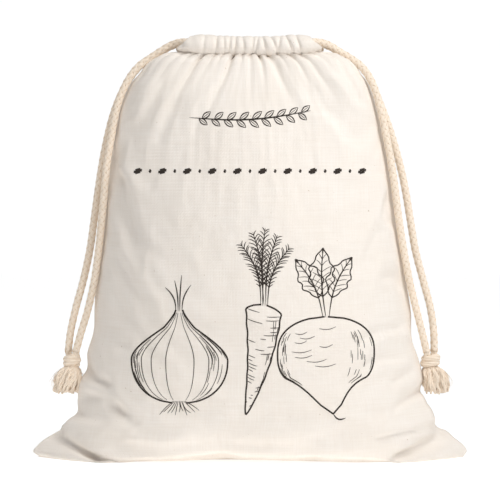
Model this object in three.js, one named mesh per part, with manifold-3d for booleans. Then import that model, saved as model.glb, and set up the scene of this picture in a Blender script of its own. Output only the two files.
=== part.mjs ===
// A cotton drawstring storage bag that stands as if it were full. Two cloth panels meet in a seam
// down each side and along the bottom, a gathered hem channel runs round the mouth, and two
// braided cotton drawcords run through the channel, one to each side, with a knot and a tuft.
// Millimetres, +Z up. The front faces -Y and the origin is on the floor, under the middle.
import * as THREE from 'three';
import { mergeVertices } from 'three/addons/utils/BufferGeometryUtils.js';
import Module from 'manifold-3d';

const wasm = await Module();
wasm.setup();

// Sizes of the bag
const bag_width = 320;
const body_height = 296;
const body_depth = 146;
const cloth = 1;
const seam_gap = 0.3;
const ear_depth = 66;
const ear_height = 21;
const foot_arch = { across: -0.09, wide: 0.40, back: 0.62 };
const pleat_count = 11;
const pleat_height = 2.6;

// How far up the body the gathers and their pleats begin and are full, as shares of body_height
const gather = { begins: 0.8, full: 0.99 };
const pleats = { begin: 0.78, full: 0.97 };

// Sizes of the mouth and its channel
const mouth_width = 108;
const mouth_depth = 32;
const channel_pleat_height = 2.2;
const channel_inner_bulge = 0.5;
const channel_end_pleats = 1;
const channel_end_lean = 4;

// Sizes of the cords and what is on them
const cord_diameter = 6;
const cord_gap = 0.3;
const channel_clearance = 0.5;
const knot_width = 13.4;
const knot_height = 13;
const tuft_length = 20;
const tuft_width = 22;
const tuft_lean = 0.3;

// Shapes of a knot and a tuft. The core is in shares of the knot's width, the rest in shares of the
// cord's diameter, and tip and slant are in radians.
const knot_core = { across: 0.40, deep: 0.36 };
const knot_wrap = { radius: 0.42, apart: 0.5, tip: 0.12, slant: 0.34 };
const tuft_head = { height: 0.7, across: 1.4, sink: 0.25 };
const lock_radius = { top: 0.3, end: 0.55 };

// How finely the cloth and cords are divided
const steps_per_pleat = 3;
const base_rows = 2;
const wall_rows = 19;
const row_spread = { low: 1.4, high: 1.35 };
const ring_sides = 10;
const cord_steps = 60;
const cord_sides = 8;

// Sections of the body from the floor up to the stitch line. Heights are shares of body_height,
// left and right of half the bag_width and depth of half the body_depth. Edge is the share of the
// half width that is filled, before the flat ear at each bottom corner begins. Round and pinch
// shape a section: a high round is boxy, and pinch draws it in towards the side seams.
const sections = [
  { height: 0.000, left: 0.970, right: 0.985, depth: 0.720, edge: 0.70, round: 4.6, pinch: 0.60 },
  { height: 0.014, left: 0.996, right: 0.996, depth: 0.800, edge: 0.72, round: 4.4, pinch: 0.60 },
  { height: 0.030, left: 0.972, right: 0.978, depth: 0.845, edge: 0.79, round: 4.0, pinch: 0.62 },
  { height: 0.050, left: 0.924, right: 0.932, depth: 0.880, edge: 0.88, round: 3.6, pinch: 0.66 },
  { height: 0.075, left: 0.868, right: 0.872, depth: 0.915, edge: 0.98, round: 3.2, pinch: 0.70 },
  { height: 0.120, left: 0.804, right: 0.828, depth: 0.955, edge: 1.00, round: 2.8, pinch: 0.70 },
  { height: 0.185, left: 0.784, right: 0.798, depth: 0.985, edge: 1.00, round: 2.5, pinch: 0.70 },
  { height: 0.265, left: 0.748, right: 0.764, depth: 1.000, edge: 1.00, round: 2.3, pinch: 0.70 },
  { height: 0.355, left: 0.711, right: 0.732, depth: 0.985, edge: 1.00, round: 2.2, pinch: 0.70 },
  { height: 0.455, left: 0.694, right: 0.704, depth: 0.945, edge: 1.00, round: 2.2, pinch: 0.70 },
  { height: 0.555, left: 0.674, right: 0.676, depth: 0.875, edge: 1.00, round: 2.2, pinch: 0.70 },
  { height: 0.660, left: 0.656, right: 0.650, depth: 0.785, edge: 1.00, round: 2.2, pinch: 0.70 },
  { height: 0.757, left: 0.638, right: 0.624, depth: 0.680, edge: 1.00, round: 2.3, pinch: 0.72 },
  { height: 0.838, left: 0.612, right: 0.594, depth: 0.575, edge: 1.00, round: 2.4, pinch: 0.74 },
  { height: 0.900, left: 0.574, right: 0.562, depth: 0.470, edge: 1.00, round: 2.4, pinch: 0.74 },
  { height: 0.950, left: 0.518, right: 0.518, depth: 0.365, edge: 1.00, round: 2.4, pinch: 0.72 },
  { height: 0.976, left: 0.470, right: 0.474, depth: 0.290, edge: 1.00, round: 2.4, pinch: 0.66 },
  { height: 0.992, left: 0.424, right: 0.425, depth: 0.245, edge: 1.00, round: 2.4, pinch: 0.60 },
];

// Folds and dents of each panel. Across is a share of half the bag_width, up and the two reaches
// are shares of body_height, and out, a share of half the body_depth, is negative for a hollow.
// Turn is the fold's direction in degrees from the level, along its long reach.
const front_folds = [
  { across: -0.57, up: 0.60, long: 0.230, wide: 0.034, turn: 84, out: -0.045 },
  { across: -0.67, up: 0.19, long: 0.052, wide: 0.028, turn: -20, out: -0.060 },
  { across: -0.63, up: 0.13, long: 0.060, wide: 0.024, turn: -24, out: -0.050 },
  { across: 0.60, up: 0.30, long: 0.075, wide: 0.028, turn: -10, out: -0.040 },
  { across: 0.58, up: 0.22, long: 0.066, wide: 0.026, turn: -10, out: -0.040 },
  { across: 0.68, up: 0.175, long: 0.036, wide: 0.024, turn: -24, out: -0.055 },
  { across: 0.74, up: 0.13, long: 0.050, wide: 0.024, turn: 34, out: -0.060 },
  { across: 0.72, up: 0.055, long: 0.075, wide: 0.022, turn: 19, out: 0.050 },
  { across: 0.61, up: 0.62, long: 0.050, wide: 0.026, turn: 70, out: -0.035 },
  { across: 0.65, up: 0.44, long: 0.045, wide: 0.026, turn: -38, out: -0.035 },
  { across: -0.36, up: 0.90, long: 0.075, wide: 0.026, turn: 68, out: -0.040 },
  { across: -0.10, up: 0.91, long: 0.080, wide: 0.022, turn: 64, out: -0.040 },
  { across: 0.09, up: 0.93, long: 0.060, wide: 0.020, turn: -75, out: -0.030 },
  { across: 0.26, up: 0.89, long: 0.090, wide: 0.030, turn: -56, out: -0.040 },
];
const back_folds = [
  { across: 0.50, up: 0.62, long: 0.200, wide: 0.040, turn: 96, out: -0.040 },
  { across: -0.52, up: 0.55, long: 0.190, wide: 0.038, turn: 82, out: -0.040 },
  { across: 0.64, up: 0.20, long: 0.070, wide: 0.028, turn: -18, out: -0.050 },
  { across: -0.66, up: 0.24, long: 0.065, wide: 0.028, turn: 16, out: -0.045 },
  { across: -0.62, up: 0.13, long: 0.060, wide: 0.026, turn: -22, out: -0.045 },
  { across: 0.30, up: 0.88, long: 0.085, wide: 0.030, turn: -60, out: -0.035 },
  { across: -0.16, up: 0.90, long: 0.085, wide: 0.026, turn: 66, out: -0.040 },
];

// The cords' free strands, each from where it leaves the channel down to the knot's top.
// Points are chosen by hand, in millimetres.
const left_front_strand = [
  [-58.6, -8.0, 304.4], [-66.2, -6.8, 300.0], [-73.6, -6.6, 295.0], [-81.2, -7.4, 289.8],
  [-87.8, -7.9, 282.0], [-93.8, -8.1, 270.8], [-98.3, -7.9, 257.6], [-101.2, -7.0, 242.6],
  [-104.4, -6.8, 224.6], [-106.8, -6.6, 204.6], [-109.0, -6.2, 180.0], [-111.6, -5.6, 155.0],
  [-115.2, -4.8, 130.0], [-120.0, -3.8, 109.0], [-125.4, -3.3, 91.0], [-128.8, -3.3, 78.4],
];
const left_back_strand = [
  [-58.6, 8.0, 304.4], [-66.2, 6.8, 300.2], [-74.0, 6.6, 295.6], [-81.6, 6.8, 289.8],
  [-88.8, 6.8, 281.2], [-95.2, 6.6, 269.6], [-100.4, 6.2, 256.6], [-104.6, 5.6, 241.6],
  [-108.4, 5.0, 223.6], [-111.8, 4.6, 202.6], [-115.2, 4.2, 178.0], [-118.8, 4.0, 153.0],
  [-123.8, 3.6, 130.0], [-129.0, 3.4, 111.0], [-133.0, 3.3, 93.0], [-134.8, 3.3, 78.4],
];
const right_front_strand = [
  [58.6, -8.0, 304.4], [66.0, -6.8, 299.8], [73.8, -7.0, 295.2], [81.2, -7.8, 289.8],
  [87.4, -8.2, 282.0], [92.4, -8.2, 271.0], [95.9, -7.9, 258.6], [99.2, -7.0, 243.6],
  [103.0, -6.8, 224.6], [106.2, -6.6, 204.6], [109.4, -6.2, 180.0], [113.2, -5.6, 155.0],
  [118.0, -4.8, 130.0], [122.8, -3.8, 110.0], [127.2, -3.3, 93.0], [130.6, -3.3, 78.4],
];
const right_back_strand = [
  [58.6, 8.0, 304.4], [66.2, 6.8, 300.0], [74.0, 6.6, 295.2], [81.8, 7.2, 289.8],
  [88.2, 7.4, 281.6], [93.2, 6.6, 270.0], [98.2, 6.2, 257.6], [103.6, 5.6, 242.6],
  [109.2, 5.0, 223.6], [114.2, 4.6, 202.6], [118.4, 4.2, 178.0], [122.6, 4.0, 153.0],
  [128.6, 3.6, 130.0], [133.6, 3.4, 111.0], [136.2, 3.3, 93.0], [136.6, 3.3, 78.4],
];

const columns = pleat_count * steps_per_pleat;
const cord_spacing = cord_diameter + cord_gap;
const pair_radius = (cord_spacing + cord_diameter) / 2;
const ring_inner = (pair_radius + channel_clearance) / Math.cos(Math.PI / ring_sides);
const ring_outer = ring_inner + cloth;
const channel_level = body_height + cord_gap + ring_outer;
const mouth_end_radius = mouth_depth / 2;
const mouth_straight = mouth_width - mouth_depth;
const mouth_half_length = mouth_straight + Math.PI * mouth_end_radius;

// One column of the section table, as a smooth function of the height share
const section_heights = sections.map((section) => section.height);
const last_section = section_heights.at(-1);
const columnOf = (name) => {
  const values = sections.map((section) => section[name]);
  const curve = new THREE.CubicInterpolant(section_heights, values, 1);
  return (height) => curve.evaluate(height)[0];
};
const leftAt = columnOf('left');
const rightAt = columnOf('right');
const depthAt = columnOf('depth');
const edgeAt = columnOf('edge');
const roundAt = columnOf('round');
const pinchAt = columnOf('pinch');

// A point of the channel's middle line on one half of the mouth, and the way out from there.
// Share 0 is at the left side seam and 1 at the right one. Side is -1 for the front, 1 for the back.
function mouthPoint(side, share) {
  const along = share * mouth_half_length;
  const quarter = (Math.PI / 2) * mouth_end_radius;
  const end = mouth_straight / 2;
  if (along < quarter) {
    const turn = along / mouth_end_radius;
    const out = new THREE.Vector2(-Math.cos(turn), side * Math.sin(turn));
    return { x: -end + mouth_end_radius * out.x, y: mouth_end_radius * out.y, out };
  }
  if (along > quarter + mouth_straight) {
    const turn = (mouth_half_length - along) / mouth_end_radius;
    const out = new THREE.Vector2(Math.cos(turn), side * Math.sin(turn));
    return { x: end + mouth_end_radius * out.x, y: mouth_end_radius * out.y, out };
  }
  return { x: along - quarter - end, y: side * mouth_end_radius, out: new THREE.Vector2(0, side) };
}

// Pleats bulge between pinched lines and are flat at the side seams
function pleatShape(share) {
  return (1 - Math.cos(2 * Math.PI * pleat_count * share)) / 2;
}

// How far the folds of a panel push the cloth out at a place on it
function foldDepth(folds, x, z) {
  let out = 0;
  for (const fold of folds) {
    const turn = THREE.MathUtils.degToRad(fold.turn);
    const dx = x - (fold.across * bag_width) / 2;
    const dz = z - fold.up * body_height;
    const along = (dx * Math.cos(turn) + dz * Math.sin(turn)) / (fold.long * body_height);
    const aside = (dz * Math.cos(turn) - dx * Math.sin(turn)) / (fold.wide * body_height);
    out += ((fold.out * body_depth) / 2) * Math.exp(-along * along - aside * aside);
  }
  return out;
}

// How far a bottom corner's ear stands out in depth: all over on the floor, and less further up,
// to nothing along its top edge.
function earDepth(across, z) {
  const flat = Math.max(0, 1 - across ** 4);
  return (ear_depth - cloth) * flat * Math.max(0, 1 - (z - cloth) / ear_height);
}

// A point of a panel's inner face. Share runs across from the left side seam to the right one.
function wallPoint(side, folds, share, height) {
  const narrow = THREE.MathUtils.smoothstep(height, last_section, 1);
  const towardsMouth = (size, mouth_size) => THREE.MathUtils.lerp(size, mouth_size, narrow);
  const left = towardsMouth((leftAt(height) * bag_width) / 2 - cloth, mouth_width / 2);
  const right = towardsMouth((rightAt(height) * bag_width) / 2 - cloth, mouth_width / 2);
  const depth = towardsMouth((depthAt(height) * body_depth) / 2, mouth_depth / 2);
  const half = (left + right) / 2;
  const middle = (right - left) / 2;
  const z = Math.max(cloth, height * body_height);
  const across = -Math.cos(Math.PI * share);
  const edge = Math.min(1, edgeAt(height));
  const bulge = Math.max(0, 1 - Math.abs(across / edge) ** roundAt(height)) ** pinchAt(height);
  const x = middle + half * across;
  const fold = foldDepth(folds, x, z) * Math.sqrt(1 - across * across);
  const out = Math.max(depth * bulge, earDepth(across, z)) + fold;
  const mouth = mouthPoint(side, share);
  const gathered = THREE.MathUtils.smoothstep(height, gather.begins, gather.full);
  const pleated = THREE.MathUtils.smoothstep(height, pleats.begin, pleats.full);
  const pleat = pleat_height * pleatShape(share) * pleated;
  const mouth_x = middle + (mouth.x * half) / (mouth_width / 2);
  const mouth_out = (Math.abs(mouth.y) * depth) / (mouth_depth / 2) + fold;
  const point_out = THREE.MathUtils.lerp(out, mouth_out, gathered) + pleat * Math.abs(mouth.out.y);
  return new THREE.Vector3(
    THREE.MathUtils.lerp(x, mouth_x, gathered) + pleat * mouth.out.x,
    side * Math.max(point_out, seam_gap / 2),
    z,
  );
}

// Where a panel leaves the floor: as far out as its lowest section, but set back in the middle,
// where the cloth arches up from the floor.
function footPoint(side, share) {
  const point = wallPoint(side, [], share, 0);
  const from_arch = (point.x / (bag_width / 2) - foot_arch.across) / foot_arch.wide;
  return point.setY(point.y * (1 - foot_arch.back * Math.exp(-from_arch * from_arch)));
}

// The rows of a panel's inner face: half of the flat base first, then the wall up to the rim
function panelRows(side, folds) {
  const rows = [];
  for (let row = 0; row < base_rows; row += 1) {
    const points = [];
    for (let column = 0; column <= columns; column += 1) {
      const point = footPoint(side, column / columns);
      const seam = (side * seam_gap) / 2;
      points.push(point.setY(THREE.MathUtils.lerp(seam, point.y, row / base_rows)));
    }
    rows.push(points);
  }
  for (let row = 0; row <= wall_rows; row += 1) {
    const height = 1 - (1 - (row / wall_rows) ** row_spread.low) ** row_spread.high;
    const points = [];
    for (let column = 0; column <= columns; column += 1) {
      const share = column / columns;
      points.push(row === 0 ? footPoint(side, share) : wallPoint(side, folds, share, height));
    }
    rows.push(points);
  }
  return rows;
}

// The outer face of the cloth, one thickness out from the inner face. The base stays flat on the
// floor and the rim stays level.
function outerRows(inner, side) {
  const last_row = inner.length - 1;
  return inner.map((points, row) => points.map((point, column) => {
    if (row < base_rows) {
      return new THREE.Vector3(point.x, point.y, 0);
    }
    const last_column = points.length - 1;
    const across = inner[row][Math.min(column + 1, last_column)].clone();
    across.sub(inner[row][Math.max(column - 1, 0)]);
    const up = inner[Math.min(row + 1, last_row)][column].clone();
    up.sub(inner[Math.max(row - 1, base_rows)][column]);
    const out = across.cross(up).multiplyScalar(-side);
    if (row === last_row) {
      out.z = 0;
    }
    out.normalize().multiplyScalar(cloth).add(point);
    out.y = side * Math.max(side * out.y, seam_gap / 2);
    if (row === base_rows) {
      out.z = 0;
    }
    return out;
  }));
}

// A closed mesh from triangles of points. Points that coincide become one vertex, and a triangle
// that has lost a side is left out.
function closedGeometry(triangles) {
  const positions = [];
  const numbers = new Map();
  const index = [];
  for (const corners of triangles) {
    const found = corners.map((corner) => {
      const key = corner.toArray().map((value) => value.toFixed(3)).join();
      if (!numbers.has(key)) {
        numbers.set(key, numbers.size);
        positions.push(...corner.toArray());
      }
      return numbers.get(key);
    });
    if (new Set(found).size === 3) {
      index.push(...found);
    }
  }
  const geometry = new THREE.BufferGeometry();
  geometry.setAttribute('position', new THREE.Float32BufferAttribute(positions, 3));
  geometry.setIndex(index);
  return geometry;
}

// The two triangles between four corners, turned round where flip is set
function quad(a, b, c, d, flip) {
  return flip ? [[a, c, b], [a, d, c]] : [[a, b, c], [a, c, d]];
}

// A cloth shell between an inner and an outer face that are both rows of points
function shell(inner, outer, flip) {
  const triangles = [];
  const top = inner.length - 1;
  const end = inner[0].length - 1;
  for (let row = 0; row < top; row += 1) {
    for (let column = 0; column < end; column += 1) {
      for (const [face, turned] of [[outer, flip], [inner, !flip]]) {
        triangles.push(...quad(face[row][column], face[row][column + 1],
          face[row + 1][column + 1], face[row + 1][column], turned));
      }
    }
    triangles.push(...quad(inner[row][0], outer[row][0], outer[row + 1][0], inner[row + 1][0], flip));
    triangles.push(...quad(outer[row][end], inner[row][end], inner[row + 1][end],
      outer[row + 1][end], flip));
  }
  for (let column = 0; column < end; column += 1) {
    triangles.push(...quad(inner[0][column], inner[0][column + 1], outer[0][column + 1],
      outer[0][column], flip));
    triangles.push(...quad(outer[top][column], outer[top][column + 1], inner[top][column + 1],
      inner[top][column], flip));
  }
  return closedGeometry(triangles);
}

function panelGeometry(side, folds) {
  const inner = panelRows(side, folds);
  return shell(inner, outerRows(inner, side), side > 0);
}

// One half of the hem channel: a pleated cloth tube, open at both side seams, where the top edge
// is drawn back from the seam.
function channelGeometry(side) {
  const first = channel_end_pleats * steps_per_pleat;
  const last = columns - first;
  const rings = { inner: [], outer: [] };
  for (let step = first; step <= last; step += 1) {
    const from_end = Math.min(step - first, last - step);
    const lean = (channel_end_lean / mouth_half_length) * Math.max(0, 1 - from_end / 2);
    const inward = step < columns / 2 ? 1 : -1;
    for (const [name, radius] of [['inner', ring_inner], ['outer', ring_outer]]) {
      const points = [];
      for (let corner = 0; corner < ring_sides; corner += 1) {
        const turn = (2 * Math.PI * (corner + 0.5)) / ring_sides - Math.PI / 2;
        const share = step / columns + inward * lean * Math.sin(turn);
        const mouth = mouthPoint(side, share);
        const level_side = Math.cos(turn) > 0 ? 1 : -channel_inner_bulge;
        const bulge = channel_pleat_height * pleatShape(step / columns) * Math.abs(Math.cos(turn));
        const out = radius * Math.cos(turn) + level_side * bulge;
        points.push(new THREE.Vector3(
          mouth.x + out * mouth.out.x,
          mouth.y + out * mouth.out.y,
          channel_level + (radius * Math.sin(turn)) / Math.cos(Math.PI / ring_sides),
        ));
      }
      rings[name].push(points);
    }
  }
  return tubeShell(rings.inner, rings.outer, side < 0);
}

// A hollow tube between inner and outer rings of points
function tubeShell(inner, outer, flip) {
  const triangles = [];
  const end = inner.length - 1;
  for (let corner = 0; corner < ring_sides; corner += 1) {
    const next = (corner + 1) % ring_sides;
    for (let step = 0; step < end; step += 1) {
      for (const [face, turned] of [[outer, flip], [inner, !flip]]) {
        triangles.push(...quad(face[step][corner], face[step][next],
          face[step + 1][next], face[step + 1][corner], turned));
      }
    }
    triangles.push(...quad(inner[0][corner], inner[0][next], outer[0][next], outer[0][corner], flip));
    triangles.push(...quad(outer[end][corner], outer[end][next], inner[end][next],
      inner[end][corner], flip));
  }
  return closedGeometry(triangles);
}

// The stretch of a cord inside the channel, from its own side seam round the mouth and back. The
// two cords lie side by side and change places along each half of the mouth, so that each is
// above and outside the other where it leaves. Hand is -1 for the left cord, 1 for the right one.
function channelStretch(hand) {
  const points = [];
  const exit_share = (channel_end_pleats * steps_per_pleat) / columns;
  const stretch_steps = 14;
  const place = (side, share) => {
    const mouth = mouthPoint(side, share);
    const over = THREE.MathUtils.smoothstep(mouth.x, -mouth_straight / 2, mouth_straight / 2);
    const angle = Math.PI / 4 + Math.PI * over + (hand > 0 ? Math.PI : 0);
    const out = (cord_spacing / 2) * Math.cos(angle);
    const level = channel_level + (cord_spacing / 2) * Math.sin(angle);
    return new THREE.Vector3(mouth.x + out * mouth.out.x, mouth.y + out * mouth.out.y, level);
  };
  const from_own_seam = (share) => (hand < 0 ? share : 1 - share);
  for (let step = 0; step <= stretch_steps; step += 1) {
    points.push(place(-1, from_own_seam(THREE.MathUtils.lerp(exit_share, 1, step / stretch_steps))));
  }
  for (let step = stretch_steps - 1; step >= 0; step -= 1) {
    points.push(place(1, from_own_seam(THREE.MathUtils.lerp(exit_share, 1, step / stretch_steps))));
  }
  return points;
}

// A whole cord: up its front strand, round the mouth and down its back strand
function cordGeometry(hand, front_strand, back_strand) {
  const route = [
    ...front_strand.map((point) => new THREE.Vector3(...point)).reverse(),
    ...channelStretch(hand),
    ...back_strand.map((point) => new THREE.Vector3(...point)),
  ];
  const section = new THREE.Shape();
  for (let corner = 0; corner < cord_sides; corner += 1) {
    const turn = (2 * Math.PI * corner) / cord_sides;
    const across = (cord_diameter / 2) * Math.cos(turn);
    const up = (cord_diameter / 2) * Math.sin(turn);
    if (corner === 0) {
      section.moveTo(across, up);
    } else {
      section.lineTo(across, up);
    }
  }
  section.closePath();
  const path = new THREE.CatmullRomCurve3(route, false, 'centripetal');
  return new THREE.ExtrudeGeometry(section, { steps: cord_steps, extrudePath: path });
}

// A manifold solid from a closed three.js geometry, and a geometry from a fused solid
function solidOf(geometry, matrix) {
  const bare = geometry.index ? geometry.toNonIndexed() : geometry.clone();
  bare.deleteAttribute('normal');
  bare.deleteAttribute('uv');
  bare.applyMatrix4(matrix);
  const merged = mergeVertices(bare, 1e-4);
  return new wasm.Manifold(new wasm.Mesh({
    numProp: 3,
    vertProperties: Float32Array.from(merged.attributes.position.array),
    triVerts: Uint32Array.from(merged.index.array),
  }));
}

function geometryOf(solid) {
  const mesh = solid.getMesh();
  const geometry = new THREE.BufferGeometry();
  geometry.setAttribute('position', new THREE.BufferAttribute(mesh.vertProperties, 3));
  geometry.setIndex(new THREE.BufferAttribute(mesh.triVerts, 1));
  return geometry;
}

function placed(x, y, z, turn = new THREE.Euler()) {
  return new THREE.Matrix4().compose(
    new THREE.Vector3(x, y, z),
    new THREE.Quaternion().setFromEuler(turn),
    new THREE.Vector3(1, 1, 1),
  );
}

// Where the knot of a cord lies: under the middle of the lower ends of its two strands
function knotPlace(front_strand, back_strand) {
  const front_end = new THREE.Vector3(...front_strand.at(-1));
  const back_end = new THREE.Vector3(...back_strand.at(-1));
  const middle = front_end.lerp(back_end, 0.5);
  middle.z -= knot_height / 2 + cord_gap;
  return middle;
}

// A knot: a round core with two turns of cord slanting round it
function knotGeometry(place, hand) {
  const turn_radius = cord_diameter * knot_wrap.radius;
  const core = new THREE.SphereGeometry(1, 8, 6);
  core.rotateX(Math.PI / 2);
  core.scale(knot_width * knot_core.across, knot_width * knot_core.deep, knot_height / 2);
  let solid = solidOf(core, placed(place.x, place.y, place.z));
  for (const level of [-1, 1]) {
    const wrap = new THREE.TorusGeometry(knot_width / 2 - turn_radius, turn_radius, 5, 10);
    const slant = new THREE.Euler(knot_wrap.tip * level, hand * knot_wrap.slant, 0);
    const height = place.z + level * (knot_height / 2 - turn_radius) * knot_wrap.apart;
    solid = solid.add(solidOf(wrap, placed(place.x, place.y, height, slant)));
  }
  return geometryOf(solid);
}

// A frayed tuft: locks of yarn that spread from a small head under the knot and lean outwards
const tuft_locks = [
  { around: 0, spread: 0.50, long: 0.96 },
  { around: 62, spread: 0.42, long: 1.00 },
  { around: 122, spread: 0.36, long: 0.90 },
  { around: 180, spread: 0.26, long: 1.00 },
  { around: 238, spread: 0.36, long: 0.94 },
  { around: 298, spread: 0.44, long: 1.00 },
];
function tuftGeometry(knot, hand) {
  const head_height = cord_diameter * tuft_head.height;
  const top = knot.z - knot_height / 2 - cord_gap;
  const head = new THREE.SphereGeometry(head_height / 2, 7, 5);
  head.rotateX(Math.PI / 2);
  head.scale(tuft_head.across, tuft_head.across, 1);
  let solid = solidOf(head, placed(knot.x, knot.y, top - head_height / 2));
  for (const lock of tuft_locks) {
    const long = lock.long * tuft_length;
    const around = THREE.MathUtils.degToRad(lock.around);
    const aside = (lock.spread * tuft_width) / tuft_length;
    const top_radius = cord_diameter * lock_radius.top;
    const end_radius = cord_diameter * lock_radius.end;
    const strand = new THREE.CylinderGeometry(top_radius, end_radius, long, 5, 1);
    strand.rotateX(-Math.PI / 2);
    strand.translate(0, 0, -long / 2);
    const way = new THREE.Vector3(
      hand * (aside * Math.cos(around) + tuft_lean),
      aside * Math.sin(around),
      -1,
    ).normalize();
    const turn = new THREE.Quaternion().setFromUnitVectors(new THREE.Vector3(0, 0, -1), way);
    const matrix = new THREE.Matrix4().makeRotationFromQuaternion(turn);
    matrix.setPosition(knot.x, knot.y, top - cord_diameter * tuft_head.sink);
    solid = solid.add(solidOf(strand, matrix));
  }
  return geometryOf(solid);
}

// Colours and finishes
const canvas_cloth = new THREE.MeshStandardMaterial({ color: 0xf3e9dc, roughness: 0.95, metalness: 0 });
const cotton_cord = new THREE.MeshStandardMaterial({ color: 0xeddcc4, roughness: 0.9, metalness: 0 });

const bag = new THREE.Group();
function addPiece(name, geometry, material) {
  const piece = new THREE.Mesh(geometry, material);
  piece.name = name;
  bag.add(piece);
}

addPiece('front_panel', panelGeometry(-1, front_folds), canvas_cloth);
addPiece('back_panel', panelGeometry(1, back_folds), canvas_cloth);
addPiece('front_channel', channelGeometry(-1), canvas_cloth);
addPiece('back_channel', channelGeometry(1), canvas_cloth);
const cords = [
  { name: 'left', hand: -1, front: left_front_strand, back: left_back_strand },
  { name: 'right', hand: 1, front: right_front_strand, back: right_back_strand },
];
for (const cord of cords) {
  const knot = knotPlace(cord.front, cord.back);
  addPiece(`${cord.name}_cord`, cordGeometry(cord.hand, cord.front, cord.back), cotton_cord);
  addPiece(`${cord.name}_knot`, knotGeometry(knot, cord.hand), cotton_cord);
  addPiece(`${cord.name}_tuft`, tuftGeometry(knot, cord.hand), cotton_cord);
}

export default bag;
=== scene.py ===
# %% [markdown]
# A natural cotton storage bag with two drawcords, standing as if it were full. The solids of the
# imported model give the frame: where each piece is and how large it is. This lesson dresses them:
# cloth that gathers into a hem, braided cord, knots, frayed tufts, a printed drawing and a soft
# white studio. Lengths are in metres, and mm turns a size in millimetres into metres.

# %% The frame
import math
import random

import bmesh
import bpy
import numpy as np
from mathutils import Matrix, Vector
from mathutils.bvhtree import BVHTree


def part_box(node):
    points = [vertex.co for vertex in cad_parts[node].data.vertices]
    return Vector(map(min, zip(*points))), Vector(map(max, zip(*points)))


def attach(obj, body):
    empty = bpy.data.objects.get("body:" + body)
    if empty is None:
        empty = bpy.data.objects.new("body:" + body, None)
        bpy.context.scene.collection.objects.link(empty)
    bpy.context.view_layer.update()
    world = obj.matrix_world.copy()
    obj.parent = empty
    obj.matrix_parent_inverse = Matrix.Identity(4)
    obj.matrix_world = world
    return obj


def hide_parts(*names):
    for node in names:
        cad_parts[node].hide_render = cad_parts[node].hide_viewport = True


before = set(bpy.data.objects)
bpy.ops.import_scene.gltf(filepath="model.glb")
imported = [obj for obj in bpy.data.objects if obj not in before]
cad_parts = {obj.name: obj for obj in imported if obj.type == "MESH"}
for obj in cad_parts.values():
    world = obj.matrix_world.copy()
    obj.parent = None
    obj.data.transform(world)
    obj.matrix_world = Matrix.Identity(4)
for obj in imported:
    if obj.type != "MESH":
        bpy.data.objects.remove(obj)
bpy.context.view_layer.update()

mm = 0.001
print("solids in the frame:", sorted(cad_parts))

# %% Sizes
bag_width = 320 * mm
body_height = 296 * mm
body_depth = 146 * mm
mouth_width = 108 * mm
mouth_depth = 32 * mm
cord_diameter = 6 * mm
cord_gap = 0.3 * mm
channel_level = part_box("front_channel")[0][2] + 8 * mm
# The hem starts a little way round from each seam, and the cords leave through the gap
hem_first_share = 3 / 33
print("the channel's middle is", round(channel_level / mm, 1), "mm above the floor")

# %% [markdown]
# The camera comes first, because it frames everything that follows. A product photo is taken from
# far away with a long lens, so that the sides look parallel. The scale of the photo says how wide
# the view is, and the distance and the lens are worked out from that.

# %% Camera
photo_pixels = 500
photo_scale = 0.74 * mm
photo_floor_row = 457.5
photo_middle_row = 250
camera_distance = 2.4
camera_elevation = math.radians(1.5)
camera_data = bpy.data.cameras.new("camera")
camera_data.sensor_width = 36
camera_data.lens = camera_data.sensor_width * camera_distance / (photo_pixels * photo_scale)
camera = bpy.data.objects.new("camera", camera_data)
bpy.context.collection.objects.link(camera)
look_at = Vector((0, 0, (photo_floor_row - photo_middle_row) * photo_scale))
view_line = Vector((0, -math.cos(camera_elevation), math.sin(camera_elevation)))
camera.location = look_at + camera_distance * view_line
camera.rotation_euler = (math.pi / 2 - camera_elevation, 0, 0)
bpy.context.scene.camera = camera
print("lens", round(camera_data.lens), "mm")

# %% [markdown]
# A drawcord is a fixed length of something limp. Each of the two runs from its knot up the side of
# the bag, all the way round inside the hem, and back down beside itself. The free strands are short
# lists of given points. Inside the hem the two cords lie side by side and change places
# along each half of the mouth, and a short function works that out.

# %% Where the free strands hang
left_front_strand = [
    (-0.0586, -0.0080, 0.3044), (-0.0662, -0.0068, 0.3000), (-0.0736, -0.0066, 0.2950),
    (-0.0812, -0.0074, 0.2898), (-0.0878, -0.0079, 0.2820), (-0.0938, -0.0081, 0.2708),
    (-0.0983, -0.0079, 0.2576), (-0.1012, -0.0070, 0.2426), (-0.1044, -0.0068, 0.2246),
    (-0.1068, -0.0066, 0.2046), (-0.1090, -0.0062, 0.1800), (-0.1116, -0.0056, 0.1550),
    (-0.1152, -0.0048, 0.1300), (-0.1200, -0.0038, 0.1090), (-0.1254, -0.0033, 0.0910),
    (-0.1288, -0.0033, 0.0784),
]
left_back_strand = [
    (-0.0586, 0.0080, 0.3044), (-0.0662, 0.0068, 0.3002), (-0.0740, 0.0066, 0.2956),
    (-0.0816, 0.0068, 0.2898), (-0.0888, 0.0068, 0.2812), (-0.0952, 0.0066, 0.2696),
    (-0.1004, 0.0062, 0.2566), (-0.1046, 0.0056, 0.2416), (-0.1084, 0.0050, 0.2236),
    (-0.1118, 0.0046, 0.2026), (-0.1152, 0.0042, 0.1780), (-0.1188, 0.0040, 0.1530),
    (-0.1238, 0.0036, 0.1300), (-0.1290, 0.0034, 0.1110), (-0.1330, 0.0033, 0.0930),
    (-0.1348, 0.0033, 0.0784),
]
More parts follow.
